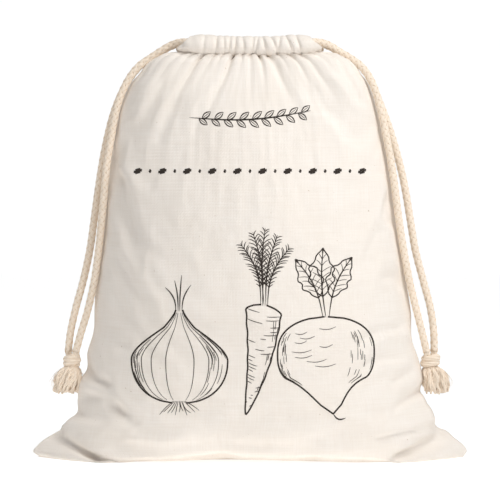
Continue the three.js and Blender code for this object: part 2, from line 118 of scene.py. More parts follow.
right_front_strand = [
    (0.0586, -0.0080, 0.3044), (0.0660, -0.0068, 0.2998), (0.0738, -0.0070, 0.2952),
    (0.0812, -0.0078, 0.2898), (0.0874, -0.0082, 0.2820), (0.0924, -0.0082, 0.2710),
    (0.0959, -0.0079, 0.2586), (0.0992, -0.0070, 0.2436), (0.1030, -0.0068, 0.2246),
    (0.1062, -0.0066, 0.2046), (0.1094, -0.0062, 0.1800), (0.1132, -0.0056, 0.1550),
    (0.1180, -0.0048, 0.1300), (0.1228, -0.0038, 0.1100), (0.1272, -0.0033, 0.0930),
    (0.1306, -0.0033, 0.0784),
]
right_back_strand = [
    (0.0586, 0.0080, 0.3044), (0.0662, 0.0068, 0.3000), (0.0740, 0.0066, 0.2952),
    (0.0818, 0.0072, 0.2898), (0.0882, 0.0074, 0.2816), (0.0932, 0.0066, 0.2700),
    (0.0982, 0.0062, 0.2576), (0.1036, 0.0056, 0.2426), (0.1092, 0.0050, 0.2236),
    (0.1142, 0.0046, 0.2026), (0.1184, 0.0042, 0.1780), (0.1226, 0.0040, 0.1530),
    (0.1286, 0.0036, 0.1300), (0.1336, 0.0034, 0.1110), (0.1362, 0.0033, 0.0930),
    (0.1366, 0.0033, 0.0784),
]
print("strand points:", len(left_front_strand), "each")


# %% The way round the mouth
mouth_straight = mouth_width - mouth_depth
mouth_half_length = mouth_straight + math.pi * mouth_depth / 2


def smooth_between(value, low, high):
    share = np.clip((np.asarray(value, float) - low) / (high - low), 0, 1)
    return share * share * (3 - 2 * share)


def mouth_point(side, share):
    """x, y and the way out on one half of the mouth, from the left seam at 0 to the right at 1."""
    share = np.asarray(share, float)
    radius = mouth_depth / 2
    quarter = math.pi / 2 * radius
    along = share * mouth_half_length
    left_turn = np.clip(along / radius, 0, math.pi / 2)
    right_turn = np.clip((mouth_half_length - along) / radius, 0, math.pi / 2)
    out_x = np.where(along < quarter, -np.cos(left_turn), np.cos(right_turn))
    out_y = side * np.where(along < quarter, np.sin(left_turn), np.sin(right_turn))
    straight = np.clip(along - quarter, 0, mouth_straight) - mouth_straight / 2
    return straight + radius * out_x, radius * out_y, out_x, out_y


def channel_stretch(hand, stretch_steps=14):
    """The points of a cord inside the hem, hand -1 for the left cord and 1 for the right one."""
    shares = np.linspace(hem_first_share, 1, stretch_steps + 1)
    points = []
    for side, run in ((-1, shares), (1, shares[-2::-1])):
        for share in run:
            x, y, out_x, out_y = mouth_point(side, share if hand < 0 else 1 - share)
            over = smooth_between(x, -mouth_straight / 2, mouth_straight / 2)
            angle = math.pi / 4 + math.pi * over + (math.pi if hand > 0 else 0)
            out = (cord_diameter + cord_gap) / 2 * np.cos(angle)
            level = channel_level + (cord_diameter + cord_gap) / 2 * np.sin(angle)
            points.append((float(x + out * out_x), float(y + out * out_y), float(level)))
    return points


cord_routes = {
    "left": left_front_strand[::-1] + channel_stretch(-1) + left_back_strand,
    "right": right_front_strand[::-1] + channel_stretch(1) + right_back_strand,
}
print("points on each cord:", {name: len(route) for name, route in cord_routes.items()})


# %% A smooth line through the points, with even steps
def reach_along(line):
    """How far along a line each of its points is."""
    return np.concatenate([[0], np.cumsum(np.linalg.norm(np.diff(line, axis=0), axis=1))])


def smooth_line(points, step):
    knots = np.asarray(points, float)
    first = 2 * knots[0] - knots[1]
    last = 2 * knots[-1] - knots[-2]
    knots = np.vstack([first, knots, last])
    stretches = []
    share = np.linspace(0, 1, 24, endpoint=False)[:, None]
    for p0, p1, p2, p3 in zip(knots, knots[1:], knots[2:], knots[3:]):
        d0, d1, d2 = (math.sqrt(np.linalg.norm(b - a)) for a, b in ((p0, p1), (p1, p2), (p2, p3)))
        start = ((p1 - p0) / d0 - (p2 - p0) / (d0 + d1) + (p2 - p1) / d1) * d1
        end = ((p2 - p1) / d1 - (p3 - p1) / (d1 + d2) + (p3 - p2) / d2) * d1
        cube = 2 * p1 - 2 * p2 + start + end
        square = 3 * p2 - 3 * p1 - 2 * start - end
        stretches.append(p1 + start * share + square * share ** 2 + cube * share ** 3)
    dense = np.vstack(stretches + [knots[-2:-1]])
    reach = reach_along(dense)
    count = max(2, round(reach[-1] / step))
    even = np.linspace(0, reach[-1], count + 1)
    return np.column_stack([np.interp(even, reach, dense[:, axis]) for axis in range(3)])


def frames_along(line):
    """Tangents and two steady sideways directions along a line, carried on without a twist."""
    tangent = np.gradient(line, axis=0)
    tangent /= np.linalg.norm(tangent, axis=1)[:, None]
    aside = np.zeros_like(line)
    start = np.cross(tangent[0], (0.0, 1.0, 0.0))
    aside[0] = start / np.linalg.norm(start)
    for i in range(1, len(line)):
        carried = aside[i - 1] - tangent[i] * np.dot(aside[i - 1], tangent[i])
        aside[i] = carried / np.linalg.norm(carried)
    return tangent, aside, np.cross(tangent, aside)


# %% Helpers that make a mesh piece
def mesh_piece(name, vertices, faces, corner_uvs=None):
    mesh = bpy.data.meshes.new(name)
    mesh.from_pydata(np.asarray(vertices).tolist(), [], faces)
    mesh.update()
    if corner_uvs is not None:
        layer = mesh.uv_layers.new(name="surface")
        layer.data.foreach_set("uv", np.asarray(corner_uvs, float).ravel())
    mesh.polygons.foreach_set("use_smooth", [True] * len(mesh.polygons))
    piece = bpy.data.objects.new(name, mesh)
    bpy.context.collection.objects.link(piece)
    return piece


class MeshPile:
    """Collects many small closed forms into one piece."""

    def __init__(self):
        self.vertices = []
        self.faces = []
        self.corner_uvs = []
        self.count = 0

    def add_tube(self, centres, side_way, up_way, half_wide, half_thick, sides):
        """A closed flattened tube. Its UV is the share of the way round and the length along."""
        turns = np.arange(sides) * 2 * math.pi / sides
        wide = half_wide[:, None, None] * np.cos(turns)[None, :, None] * side_way[:, None, :]
        thick = half_thick[:, None, None] * np.sin(turns)[None, :, None] * up_way[:, None, :]
        self.vertices.append((centres[:, None, :] + wide + thick).reshape(-1, 3))
        along = reach_along(centres)
        for row in range(len(centres) - 1):
            a = self.count + row * sides
            low, high = along[row], along[row + 1]
            for corner in range(sides):
                after = (corner + 1) % sides
                u0, u1 = corner / sides, (corner + 1) / sides
                self.faces.append((a + corner, a + after, a + sides + after, a + sides + corner))
                self.corner_uvs += [(u0, low), (u1, low), (u1, high), (u0, high)]
        end = self.count + (len(centres) - 1) * sides
        self.faces.append(tuple(self.count + i for i in range(sides - 1, -1, -1)))
        self.faces.append(tuple(end + i for i in range(sides)))
        self.corner_uvs += [(0.25, along[0])] * sides + [(0.25, along[-1])] * sides
        self.count += len(centres) * sides

    def piece(self, name):
        piece = mesh_piece(name, np.vstack(self.vertices), self.faces, self.corner_uvs)
        mesh = bmesh.new()
        mesh.from_mesh(piece.data)
        bmesh.ops.recalc_face_normals(mesh, faces=mesh.faces)
        mesh.to_mesh(piece.data)
        mesh.free()
        return piece


# %% [markdown]
# The cord is a round plait of eight yarn bundles: four wind one way, four the other, and each passes
# over one and under the next. A plain tube with a bump map would lose that outline, so the bundles
# are real flattened tubes. Over and under is a small wave in each bundle's distance from the middle.

# %% Plaited cord
plait_lay = 22 * mm
bundle_ring = 1.84 * mm
bundle_wave = 0.30 * mm
bundle_half_wide = 1.52 * mm
bundle_half_thick = 0.80 * mm


def plait(pile, line, scale=1.0, sides=8):
    tangent, aside, upward = frames_along(line)
    reach = reach_along(line)
    for way in (-1, 1):
        for bundle in range(4):
            angle = way * 2 * math.pi * reach / (plait_lay * scale) + bundle * math.pi / 2
            ring = scale * (bundle_ring + way * bundle_wave * np.cos(4 * angle))
            outward = np.cos(angle)[:, None] * aside + np.sin(angle)[:, None] * upward
            centres = line + ring[:, None] * outward
            run = np.gradient(centres, axis=0)
            run /= np.linalg.norm(run, axis=1)[:, None]
            across = np.cross(run, outward)
            across /= np.linalg.norm(across, axis=1)[:, None]
            wide = np.full(len(line), bundle_half_wide * scale)
            thick = np.full(len(line), bundle_half_thick * scale)
            pile.add_tube(centres, across, np.cross(across, run), wide, thick, sides)


cord_lines = {}
cord_pieces = {}
for name, route in cord_routes.items():
    cord_lines[name] = smooth_line(route, 1.1 * mm)
    pile = MeshPile()
    plait(pile, cord_lines[name])
    cord_pieces[name] = pile.piece(f"{name}_drawcord")
    length = reach_along(cord_lines[name])[-1]
    print(name, "cord is", round(length / mm), "mm long,", len(pile.faces), "faces")

# %% [markdown]
# The body is two cotton panels sewn to each other down the sides and along the bottom. Its shape is
# a stack of sections, each one a rounded box that is pinched towards the side seams. The solids
# were made in the same way from far fewer points. Here the grid is fine enough for folds, and each
# fold is a move of the grid along its own normals.

# %% Sections of the body
section_columns = ("height", "left", "right", "depth", "edge", "round", "pinch")
sections = [
    (0.000, 0.970, 0.985, 0.800, 0.80, 4.4, 0.60),
    (0.014, 0.996, 0.996, 0.840, 0.81, 4.2, 0.60),
    (0.030, 0.972, 0.978, 0.868, 0.85, 3.9, 0.62),
    (0.050, 0.924, 0.932, 0.892, 0.91, 3.6, 0.66),
    (0.075, 0.868, 0.872, 0.918, 0.98, 3.2, 0.70),
    (0.120, 0.804, 0.828, 0.955, 1.00, 2.8, 0.70),
    (0.185, 0.784, 0.798, 0.985, 1.00, 2.5, 0.70),
    (0.265, 0.748, 0.764, 1.000, 1.00, 2.3, 0.70),
    (0.355, 0.711, 0.732, 0.985, 1.00, 2.2, 0.70),
    (0.455, 0.694, 0.704, 0.945, 1.00, 2.2, 0.70),
    (0.555, 0.674, 0.676, 0.875, 1.00, 2.2, 0.70),
    (0.660, 0.656, 0.650, 0.785, 1.00, 2.2, 0.70),
    (0.757, 0.638, 0.624, 0.680, 1.00, 2.3, 0.72),
    (0.838, 0.612, 0.594, 0.575, 1.00, 2.4, 0.74),
    (0.900, 0.574, 0.562, 0.470, 1.00, 2.4, 0.74),
    (0.950, 0.518, 0.518, 0.365, 1.00, 2.4, 0.72),
    (0.976, 0.470, 0.474, 0.290, 1.00, 2.4, 0.66),
    (0.992, 0.424, 0.425, 0.245, 1.00, 2.4, 0.60),
]
section_heights = np.array([row[0] for row in sections])


def section_value(name, height):
    """One column of the table as a smooth curve through its values."""
    values = np.array([row[section_columns.index(name)] for row in sections])
    slopes = np.gradient(values, section_heights)
    height = np.clip(height, 0, section_heights[-1])
    i = np.clip(np.searchsorted(section_heights, height, side="right") - 1, 0, len(values) - 2)
    step = section_heights[i + 1] - section_heights[i]
    t = (height - section_heights[i]) / step
    start = (2 * t ** 3 - 3 * t ** 2 + 1) * values[i] + (t ** 3 - 2 * t ** 2 + t) * step * slopes[i]
    end = (3 * t ** 2 - 2 * t ** 3) * values[i + 1] + (t ** 3 - t ** 2) * step * slopes[i + 1]
    return start + end


# %% [markdown]
# Gathered cloth falls into valleys that start at the stitch line, each at its own place, and die out
# or lean away as they go down. Creases and dents further down come from the way the filling pushes
# the cloth. Each table row is one valley or one crease, read off the real bag, so that none
# repeats. Lengths in the tables are in millimetres.

# %% Gathers and creases of the two panels
# Share of the way across the panel, how far down the valley runs, how far it leans in share by its
# lower end, its width, its depth, and the extra depth of the pocket right under the stitches
gather_columns = ("share", "reach", "lean", "wide", "depth", "pocket")
front_gathers = [
    (0.066, 42, 0.000, 2.0, 3.2, 0.6),
    (0.120, 24, -0.004, 1.4, 1.3, 0.5),
    (0.170, 34, -0.010, 1.8, 1.4, 0.4),
    (0.215, 22, 0.004, 1.2, 1.0, 0.7),
    (0.270, 66, 0.010, 1.5, 3.6, 2.6),
    (0.330, 26, -0.012, 1.3, 1.4, 0.9),
    (0.365, 18, 0.000, 1.0, 1.0, 0.8),
    (0.418, 62, -0.040, 1.4, 3.8, 2.8),
    (0.462, 20, -0.004, 1.1, 1.2, 0.9),
    (0.500, 40, 0.002, 1.5, 1.6, 0.8),
    (0.543, 26, 0.014, 1.1, 3.2, 2.2),
    (0.592, 78, 0.095, 2.9, 3.4, 1.2),
    (0.640, 18, 0.010, 1.2, 1.4, 1.0),
    (0.694, 30, 0.022, 1.3, 2.2, 1.6),
    (0.750, 50, 0.034, 1.8, 2.0, 0.8),
    (0.815, 28, 0.014, 1.4, 1.2, 0.6),
    (0.870, 46, 0.012, 1.8, 2.2, 0.8),
    (0.935, 36, 0.000, 1.8, 2.2, 0.6),
]
back_gathers = [
    (0.080, 38, 0.005, 1.8, 2.4, 0.8),
    (0.145, 54, -0.020, 1.6, 2.8, 1.2),
    (0.205, 26, -0.010, 1.2, 1.4, 0.9),
    (0.262, 66, -0.040, 1.8, 3.4, 1.8),
    (0.318, 24, -0.012, 1.2, 1.3, 0.8),
    (0.366, 48, -0.030, 1.4, 2.6, 1.6),
    (0.430, 30, -0.012, 1.2, 1.8, 1.4),
    (0.478, 70, -0.020, 1.7, 3.4, 2.0),
    (0.529, 24, 0.008, 1.2, 1.3, 0.9),
    (0.576, 52, 0.030, 1.4, 2.8, 1.8),
    (0.628, 30, 0.020, 1.2, 1.6, 1.0),
    (0.690, 68, 0.045, 2.0, 3.2, 1.8),
    (0.748, 26, 0.010, 1.2, 1.4, 0.8),
    (0.806, 50, 0.024, 1.5, 2.6, 1.2),
    (0.872, 36, 0.010, 1.5, 2.0, 0.8),
    (0.925, 28, 0.000, 1.6, 1.8, 0.6),
]

# Where a crease starts and ends, seen from the front, how wide it is, how far it stands out, and
# its roll: at 0 it is a plain ridge or hollow, at 1 a ridge with a hollow beside it
crease_columns = ("from_x", "from_z", "to_x", "to_z", "wide", "out", "roll")
front_creases = [
    (-150, 15, -124, 3, 3.4, 1.6, 0.0),
    (132, 21, 94, 14.5, 3.6, 1.6, 0.0),
    (154, 13, 138, 5, 3.4, 1.4, 0.0),
    (-119, 63, -101, 53, 5.0, -4.2, 0.2),
    (-116, 47, -88, 37, 5.4, -4.2, 0.3),
    (-122, 55, -98, 45, 4.6, 2.2, 0.0),
    (-104, 76, -88, 88, 6.0, -1.6, 0.6),
    (78, 88, 114, 98, 5.0, -2.4, 0.7),
    (78, 68, 113, 75, 5.2, -2.8, 0.7),
    (104, 54, 118, 66, 4.6, -3.2, 0.5),
    (104, 34, 127, 52, 4.2, -3.4, 0.5),
    (88, 30, 104, 38, 5.0, -1.6, 0.6),
    (93, 194, 103, 168, 5.0, -2.2, 0.8),
    (97, 135, 111, 124, 5.5, -2.4, 0.6),
    (-101, 240, -86, 150, 8.5, -3.8, 0.3),
    (-92, 150, -100, 90, 8.0, -2.6, 0.4),
    (-98, 214, -80, 196, 6.0, 1.8, 0.8),
    (-62, 280, -82, 252, 5.0, -2.0, 0.6),
    (-50, 267, -74, 238, 6.0, -2.0, 0.7),
    (-26, 270, -46, 240, 6.0, -1.6, 0.7),
    (38, 274, 66, 238, 7.0, -2.0, 0.7),
    (60, 284, 84, 258, 4.6, -1.8, 0.8),
    (66, 240, 88, 210, 7.0, -2.0, 0.7),
    (-82, 250, -97, 226, 5.0, -1.8, 0.7),
    (-26, 13, 30, 10, 5.0, 1.2, 0.0),
    (44, 12, 84, 9, 5.0, 1.4, 0.3),
    (-96, 16, -50, 14, 7.0, 1.2, 0.5),
    (-62, 40, -24, 30, 11.0, -1.6, 0.5),
    (20, 36, 64, 27, 11.0, -1.6, 0.5),
]
back_creases = [
    (139, 21, 102, 2, 2.8, -3.4, 0.0),
    (141, 25, 116, 12, 4.6, 2.0, 0.0),
    (-138, 20, -100, 4, 3.2, -3.0, 0.0),
    (-136, 26, -110, 14, 4.4, 2.2, 0.3),
    (114, 60, 88, 50, 4.8, -2.4, 0.6),
    (112, 42, 82, 34, 4.2, 2.0, 0.8),
    (-114, 74, -84, 64, 5.0, -2.2, 0.8),
    (-116, 50, -92, 36, 4.6, -2.2, 0.6),
    (-98, 196, -84, 140, 8.0, -2.2, 0.4),
    (96, 214, 84, 130, 8.5, -2.4, 0.4),
    (98, 120, 108, 96, 6.0, -1.6, 0.6),
    (-56, 292, -76, 256, 4.4, -2.2, 0.7),
    (-30, 294, -46, 250, 4.6, -2.0, 0.8),
    (-6, 292, -14, 262, 3.6, -1.8, 0.8),
    (14, 294, 26, 252, 4.6, -2.2, 0.8),
    (38, 290, 60, 254, 4.4, -2.0, 0.8),
    (58, 288, 82, 260, 4.4, -1.8, 0.7),
    (-50, 240, -66, 214, 7.0, -1.4, 0.8),
    (40, 236, 58, 208, 7.0, -1.2, 0.8),
    (-70, 14, -20, 9, 5.0, 1.8, 0.4),
    (10, 12, 76, 9, 5.0, 1.6, 0.4),
]
# A tuck is where the filled cloth hangs over a bottom corner: it stands out above the line, by
# over, and is drawn in below it, by under
tuck_columns = ("from_x", "from_z", "to_x", "to_z", "over", "under")
front_tucks = [
    (-147, 20.4, -99, 0.8, 3.2, 6.8),
    (138, 25.5, 84, 19, 2.2, 3.0),
    (140, 19.5, 103, 5, 1.8, 4.2),
]
back_tucks = [
    (143, 20, 102, -1, 2.4, 5.0),
    (-142, 21, -106, 1, 1.8, 3.8),
]

# How far the outline of each side stands out from its plain section: rows of height and way out
left_side = [(0, 0.8), (5.5, 1.5), (13.7, 2.6), (17.4, 1.4), (19.8, -0.6), (24, 1.8), (31.5, -2.5),
             (42.5, 1.2), (53.6, 2.0), (66, -2.2), (78, 0.6), (96, -0.6), (120, 0.5), (150, 0)]
right_side = [(0, 0.5), (7.5, 1.9), (14.8, 2.0), (19.6, 3.4), (22.9, -1.0), (28.5, 1.6), (34, 1.6),
              (41, -0.4), (49.5, -2.8), (58.7, 2.1), (72.5, 1.3), (86, -0.4), (110, 0.6), (150, 0)]

# How high the front's lower edge stands off the floor: rows of place across and height
foot_lifts = [(-116, 0.3), (-100, 0.6), (-71, 3.8), (-38, 7.2), (-21, 8.8), (-8, 7.0), (4, 6.6),
              (40, 5.8), (87, 4.2), (102, 1.2), (116, 0.3)]
print("gathers and creases:", len(front_gathers) + len(back_gathers),
      len(front_creases) + len(back_creases))


# %% The plain wall
cloth = 1 * mm
ear_depth = 66 * mm
ear_height = 21 * mm
ear_starts = 0.40
ear_full = 0.72
ear_round = 2.5 * mm
seam_half_gap = 0.15 * mm
foot_arch_across = -0.09
foot_arch_wide = 0.60
foot_arch_back = {-1: 0.74, 1: 0.34}
foot_arch_low = 0.8 * mm
foot_arch_height = 7 * mm


def blend(a, b, share):
    return a + (b - a) * share


def read_table(table, place):
    """A table of two columns, in millimetres, as a smooth line through its rows."""
    at = np.array([row[0] for row in table], float)
    values = np.array([row[1] for row in table], float)
    i = np.clip(np.searchsorted(at, place / mm, side="right") - 1, 0, len(at) - 2)
    share = np.clip((place / mm - at[i]) / (at[i + 1] - at[i]), 0, 1)
    return blend(values[i], values[i + 1], share * share * (3 - 2 * share)) * mm


def plain_wall(side, share, height):
    """Points of a panel's inner face, before any fold. Share runs from the left seam to the right."""
    narrow = smooth_between(height, section_heights[-1], 1)
    left = blend(section_value("left", height) * bag_width / 2 - cloth, mouth_width / 2, narrow)
    right = blend(section_value("right", height) * bag_width / 2 - cloth, mouth_width / 2, narrow)
    depth = blend(section_value("depth", height) * body_depth / 2, mouth_depth / 2, narrow)
    half = (left + right) / 2
    middle = (right - left) / 2
    z = np.maximum(cloth, height * body_height)
    across = -np.cos(math.pi * share)
    filled = np.abs(across / np.minimum(1, section_value("edge", height)))
    bulge = np.maximum(0, 1 - filled ** section_value("round", height))
    out = depth * bulge ** section_value("pinch", height)
    ear_share = np.maximum(0, 1 - (z - cloth) / ear_height)
    ear = (ear_depth - cloth) * np.maximum(0, 1 - across ** 4) * ear_share
    ear = ear * smooth_between(np.abs(across), ear_starts, ear_full)
    out = (out + ear + np.sqrt((out - ear) ** 2 + ear_round ** 2) - ear_round) / 2
    mouth_x, mouth_y, out_x, out_y = mouth_point(side, share)
    gathered = smooth_between(height, 0.8, 0.99)
    x = blend(middle + half * across, middle + mouth_x * half / (mouth_width / 2), gathered)
    out = blend(out, np.abs(mouth_y) * depth / (mouth_depth / 2), gathered)
    from_arch = (x / (bag_width / 2) - foot_arch_across) / foot_arch_wide
    lift = read_table(foot_lifts, x) if side < 0 else foot_arch_height
    low = np.clip(1 - z / np.maximum(lift * 1.2, foot_arch_low), 0, 1) ** 1.3
    out = out * (1 - foot_arch_back[side] * np.exp(-from_arch ** 2) * low)
    bumps = np.where(across < 0, -read_table(left_side, z), read_table(right_side, z))
    x = x + bumps * np.abs(across) ** 6
    return np.stack([x, side * np.maximum(out, seam_half_gap), z + 0 * share], axis=-1)


# %% How far the folds push the cloth out
def gather_moves(gathers, share, z, width_per_share):
    """The valleys under the stitch line, over a soft roll of cloth that stands out between them."""
    down = np.maximum(0, body_height - z) / mm
    moves = 1.1 * smooth_between(down, 52, 4) + 3.6 * np.exp(-((down - 4.5) / 6.5) ** 2)
    for row in gathers:
        gather = dict(zip(gather_columns, row))
        run = np.clip(down / gather["reach"], 0, 1)
        aside = (share - gather["share"] - gather["lean"] * run) * width_per_share / mm
        wide = gather["wide"] + 0.07 * down
        fade = (1 - run) ** 1.4
        deep = gather["depth"] * fade + gather["pocket"] * np.exp(-down / 3.2)
        moves = moves - deep * np.exp(-np.abs(aside / wide) ** 1.7)
    return moves * mm


def places_by_line(fold, x, z):
    """For each point, its share of the way along a fold's line and its distance above the line."""
    start = np.array([fold["from_x"], fold["from_z"]]) * mm
    run = np.array([fold["to_x"], fold["to_z"]]) * mm - start
    length = np.linalg.norm(run)
    run = run / length
    along = ((x - start[0]) * run[0] + (z - start[1]) * run[1]) / length
    above = (z - start[1]) * run[0] - (x - start[0]) * run[1]
    return along, above


def crease_moves(creases, x, z):
    moves = 0 * x
    for row in creases:
        crease = dict(zip(crease_columns, row))
        along, above = places_by_line(crease, x, z)
        aside = above / (crease["wide"] * mm) + 0.35 * np.sin(5 * along + crease["from_x"])
        bell = np.exp(-aside ** 2)
        shape = blend(bell, 1.9 * aside * bell, crease["roll"])
        ends = smooth_between(along, -0.18, 0.22) * smooth_between(along, 1.18, 0.72)
        moves = moves + crease["out"] * mm * shape * ends
    return moves


def tuck_moves(tucks, x, z):
    moves = 0 * x
    for row in tucks:
        tuck = dict(zip(tuck_columns, row))
        along, above = places_by_line(tuck, x, z)
        above = above * np.sign(tuck["to_x"] - tuck["from_x"]) / mm
        lower = -tuck["under"] * np.exp(np.minimum(above, 0) / 5.5)
        upper = tuck["over"] * np.exp(-np.maximum(above, 0) / 12)
        shape = blend(lower, upper, smooth_between(above, -1.6, 1.6))
        moves = moves + shape * smooth_between(along, -0.1, 0.14) * smooth_between(along, 1.02, 0.72)
    return moves * mm


def waves(seed, x, z, length, count=9):
    """Soft lumps of about one wavelength: a few level waves that run in different directions."""
    chance = random.Random(seed)
    total = 0 * x
    for _ in range(count):
        turn = chance.uniform(0, math.pi)
        number = 2 * math.pi / (length * chance.uniform(0.75, 1.5))
        start = chance.uniform(0, 2 * math.pi)
        total = total + np.sin((x * math.cos(turn) + z * math.sin(turn)) * number + start)
    return total / math.sqrt(count)


# %% The fine grid of a panel
panel_columns = 236
panel_rows = 158
base_strips = 14
cloth_thickness = 0.7 * mm
seam_ridge = 2.0 * mm
seam_touch = 0.03 * mm


def even_shares(count):
    """Shares across a panel whose points stand about evenly apart round the body."""
    share = np.linspace(0, 1, 2001)
    reach = reach_along(plain_wall(-1, share, np.full_like(share, 0.35)))
    return np.interp(np.linspace(0, reach[-1], count + 1), reach, blend(share, reach / reach[-1], 0.1))


def grid_normals(points, side):
    across = np.gradient(points, axis=1)
    upward = np.gradient(points, axis=0)
    normal = np.cross(across, upward) * -side
    return normal / np.maximum(np.linalg.norm(normal, axis=2)[:, :, None], 1e-12)


def relaxed(grid, weight, rounds):
    """A grid smoothed as with a sculptor's smooth brush, by a weight from 0 to 1 at each point."""
    for _ in range(rounds):
        mean = grid.copy()
        mean[1:-1, 1:-1] = (grid[:-2, 1:-1] + grid[2:, 1:-1] + grid[1:-1, :-2] + grid[1:-1, 2:]) / 4
        mean[1:-1, [0, -1]] = (grid[:-2, [0, -1]] + grid[2:, [0, -1]]) / 2
        grid = blend(grid, mean, weight[:, :, None])
    return grid


def panel_wall(side, gathers, creases, tucks, seed):
    share = even_shares(panel_columns)[None, :]
    step = np.linspace(0, 1, panel_rows + 1)[:, None]
    height = 1 - (1 - step ** 1.25) ** 1.3
    share, height = np.broadcast_arrays(share, height)
    wall = plain_wall(side, share, height)
    normal = grid_normals(wall, side)
    x, z = wall[:, :, 0], wall[:, :, 2]
    width_per_share = np.linalg.norm(np.gradient(wall, axis=1), axis=2) / np.gradient(share, axis=1)
    from_seam = np.sqrt(np.clip(np.sin(math.pi * share), 0, 1))
    moves = gather_moves(gathers, share, z, width_per_share) * smooth_between(from_seam, 0.1, 0.5)
    free = smooth_between(z / body_height, 0.99, 0.8)
    moves = moves + crease_moves(creases, x, z) * smooth_between(from_seam, 0.05, 0.5)
    moves = moves + tuck_moves(tucks, x, z) * smooth_between(from_seam, 0.02, 0.3)
    moves = moves + free * from_seam * (0.75 * mm * waves(seed, x, z, 62 * mm)
                                        + 0.28 * mm * waves(seed + 1, x, z, 24 * mm)
                                        + 0.10 * mm * waves(seed + 2, x, z, 10 * mm))
    outer = wall + normal * (cloth + moves)[:, :, None]
    ridge = seam_ridge * np.exp(-(outer[:, :, 1] / (3.2 * mm)) ** 2)
    ridge = ridge * smooth_between(z, 88 * mm, 110 * mm) * smooth_between(z, 287 * mm, 276 * mm)
    outer[:, :, 0] += np.sign(x) * ridge
    corner = smooth_between(np.abs(x), 116 * mm, 126 * mm) * smooth_between(z, 34 * mm, 24 * mm)
    corner = corner * smooth_between(from_seam, 0.05, 0.28)
    outer = relaxed(outer, 0.5 * corner, 6)
    outer[:, :, 1] = side * np.maximum(side * outer[:, :, 1], 0.12 * mm)
    for column, outward in ((0, -1), (-1, 1)):
        outer[:, column, 0] = wall[:, column, 0] + outward * (cloth + ridge[:, column])
        outer[:, column, 1] = side * seam_touch
        outer[:, column, 2] = wall[:, column, 2]
    outer[:, :, 2] = np.maximum(outer[:, :, 2], 0)
    outer[0, :, 2] = 0
    base = []
    for strip in range(base_strips):
        line = outer[0].copy()
        line[:, 1] = blend(side * 0.12 * mm, outer[0, :, 1], strip / base_strips)
        base.append(line)
    return np.concatenate([np.array(base), outer])


# %% [markdown]
# A grid of points has no thickness, and a single layer looks like paper at its edges. So each cloth
# is a closed sheet: an outer layer, an inner one a little inside it, and a narrow strip round the
# rim. Its UV is the cloth laid flat, in metres, so that the weave keeps its scale on every fold.

# %% A cloth sheet with a thickness
def sheet_faces(rows, columns, flip):
    """Faces of a closed sheet: an outer grid, an inner grid after it, and the strip between them."""
    number = np.arange((rows + 1) * (columns + 1)).reshape(rows + 1, columns + 1)
    inner = number + number.size
    rim = [(number[0, :], inner[0, :]), (inner[-1, :], number[-1, :]),
           (inner[:, 0], number[:, 0]), (number[:, -1], inner[:, -1])]
    blocks = []
    for grid, turned in ((number, False), (inner, True)):
        corners = [grid[:-1, :-1], grid[:-1, 1:], grid[1:, 1:], grid[1:, :-1]]
        if turned:
            corners = corners[::-1]
        blocks.append(np.stack(corners, axis=-1).reshape(-1, 4))
    for near, far in rim:
        blocks.append(np.stack([near[:-1], far[:-1], far[1:], near[1:]], axis=-1))
    faces = np.concatenate(blocks)
    return faces[:, ::-1] if flip else faces


def sheet_piece(name, outer, normal, flip):
    """A cloth sheet with a thickness. Its UV is its own flat width and height, in metres."""
    rows, columns = outer.shape[0] - 1, outer.shape[1] - 1
    inner = outer - normal * cloth_thickness
    inner[:, :, 2] = np.maximum(inner[:, :, 2], 0)
    vertices = np.concatenate([outer.reshape(-1, 3), inner.reshape(-1, 3)])
    faces = sheet_faces(rows, columns, flip)
    across = np.linalg.norm(np.diff(outer, axis=1), axis=2)
    across = np.concatenate([np.zeros((rows + 1, 1)), np.cumsum(across, axis=1)], axis=1)
    across = across - across[:, columns // 2][:, None]
    upward = np.linalg.norm(np.diff(outer, axis=0), axis=2).mean(axis=1)
    upward = np.concatenate([[0], np.cumsum(upward)])[:, None] + 0 * across
    flat = np.stack([across, upward], axis=-1).reshape(-1, 2)
    flat = np.concatenate([flat, flat])
    piece = mesh_piece(name, vertices, faces.tolist(), flat[faces.ravel()])
    return piece, (across[rows // 2, -1] - across[rows // 2, 0], float(upward[-1, 0]))


# %% [markdown]
# Up to here every fold was placed one by one. Real canvas adds small slack folds of its own, because it
# is a little larger than what fills it. Blender's cloth finds these. A coarser copy of the wall is
# held at its seams, its foot and its stitch line. It grows by about two hundredths and rests on a
# filling just inside it. Its moves are then carried back to the fine grid.

# %% Cloth that settles on its filling
coarse_step = 3
settling_frames = 12
settling_reach = 3.2 * mm
settling_smoothing = 8
filling_inset = 2.4 * mm
contact_gap = 1.2 * mm
held_below = 16 * mm
held_above = 284 * mm
slack = 0.022
canvas_settings = {
    "quality": 6, "mass": 0.25, "tension_stiffness": 25, "compression_stiffness": 25,
    "shear_stiffness": 8, "bending_stiffness": 0.25, "shrink_min": -slack, "shrink_max": -slack,
    "air_damping": 4, "vertex_group_mass": "held",
}


def filling_for(name, rest, faces, side):
    """A surface just inside the wall, which the cloth comes to rest on."""
    core = rest - grid_normals(rest, side) * filling_inset
    filling = mesh_piece(f"{name}_filling", core.reshape(-1, 3), faces)
    filling.modifiers.new("Collision", "COLLISION")
    filling.collision.thickness_outer = contact_gap
    filling.collision.cloth_friction = 12
    filling.collision.use_culling = False
    return filling


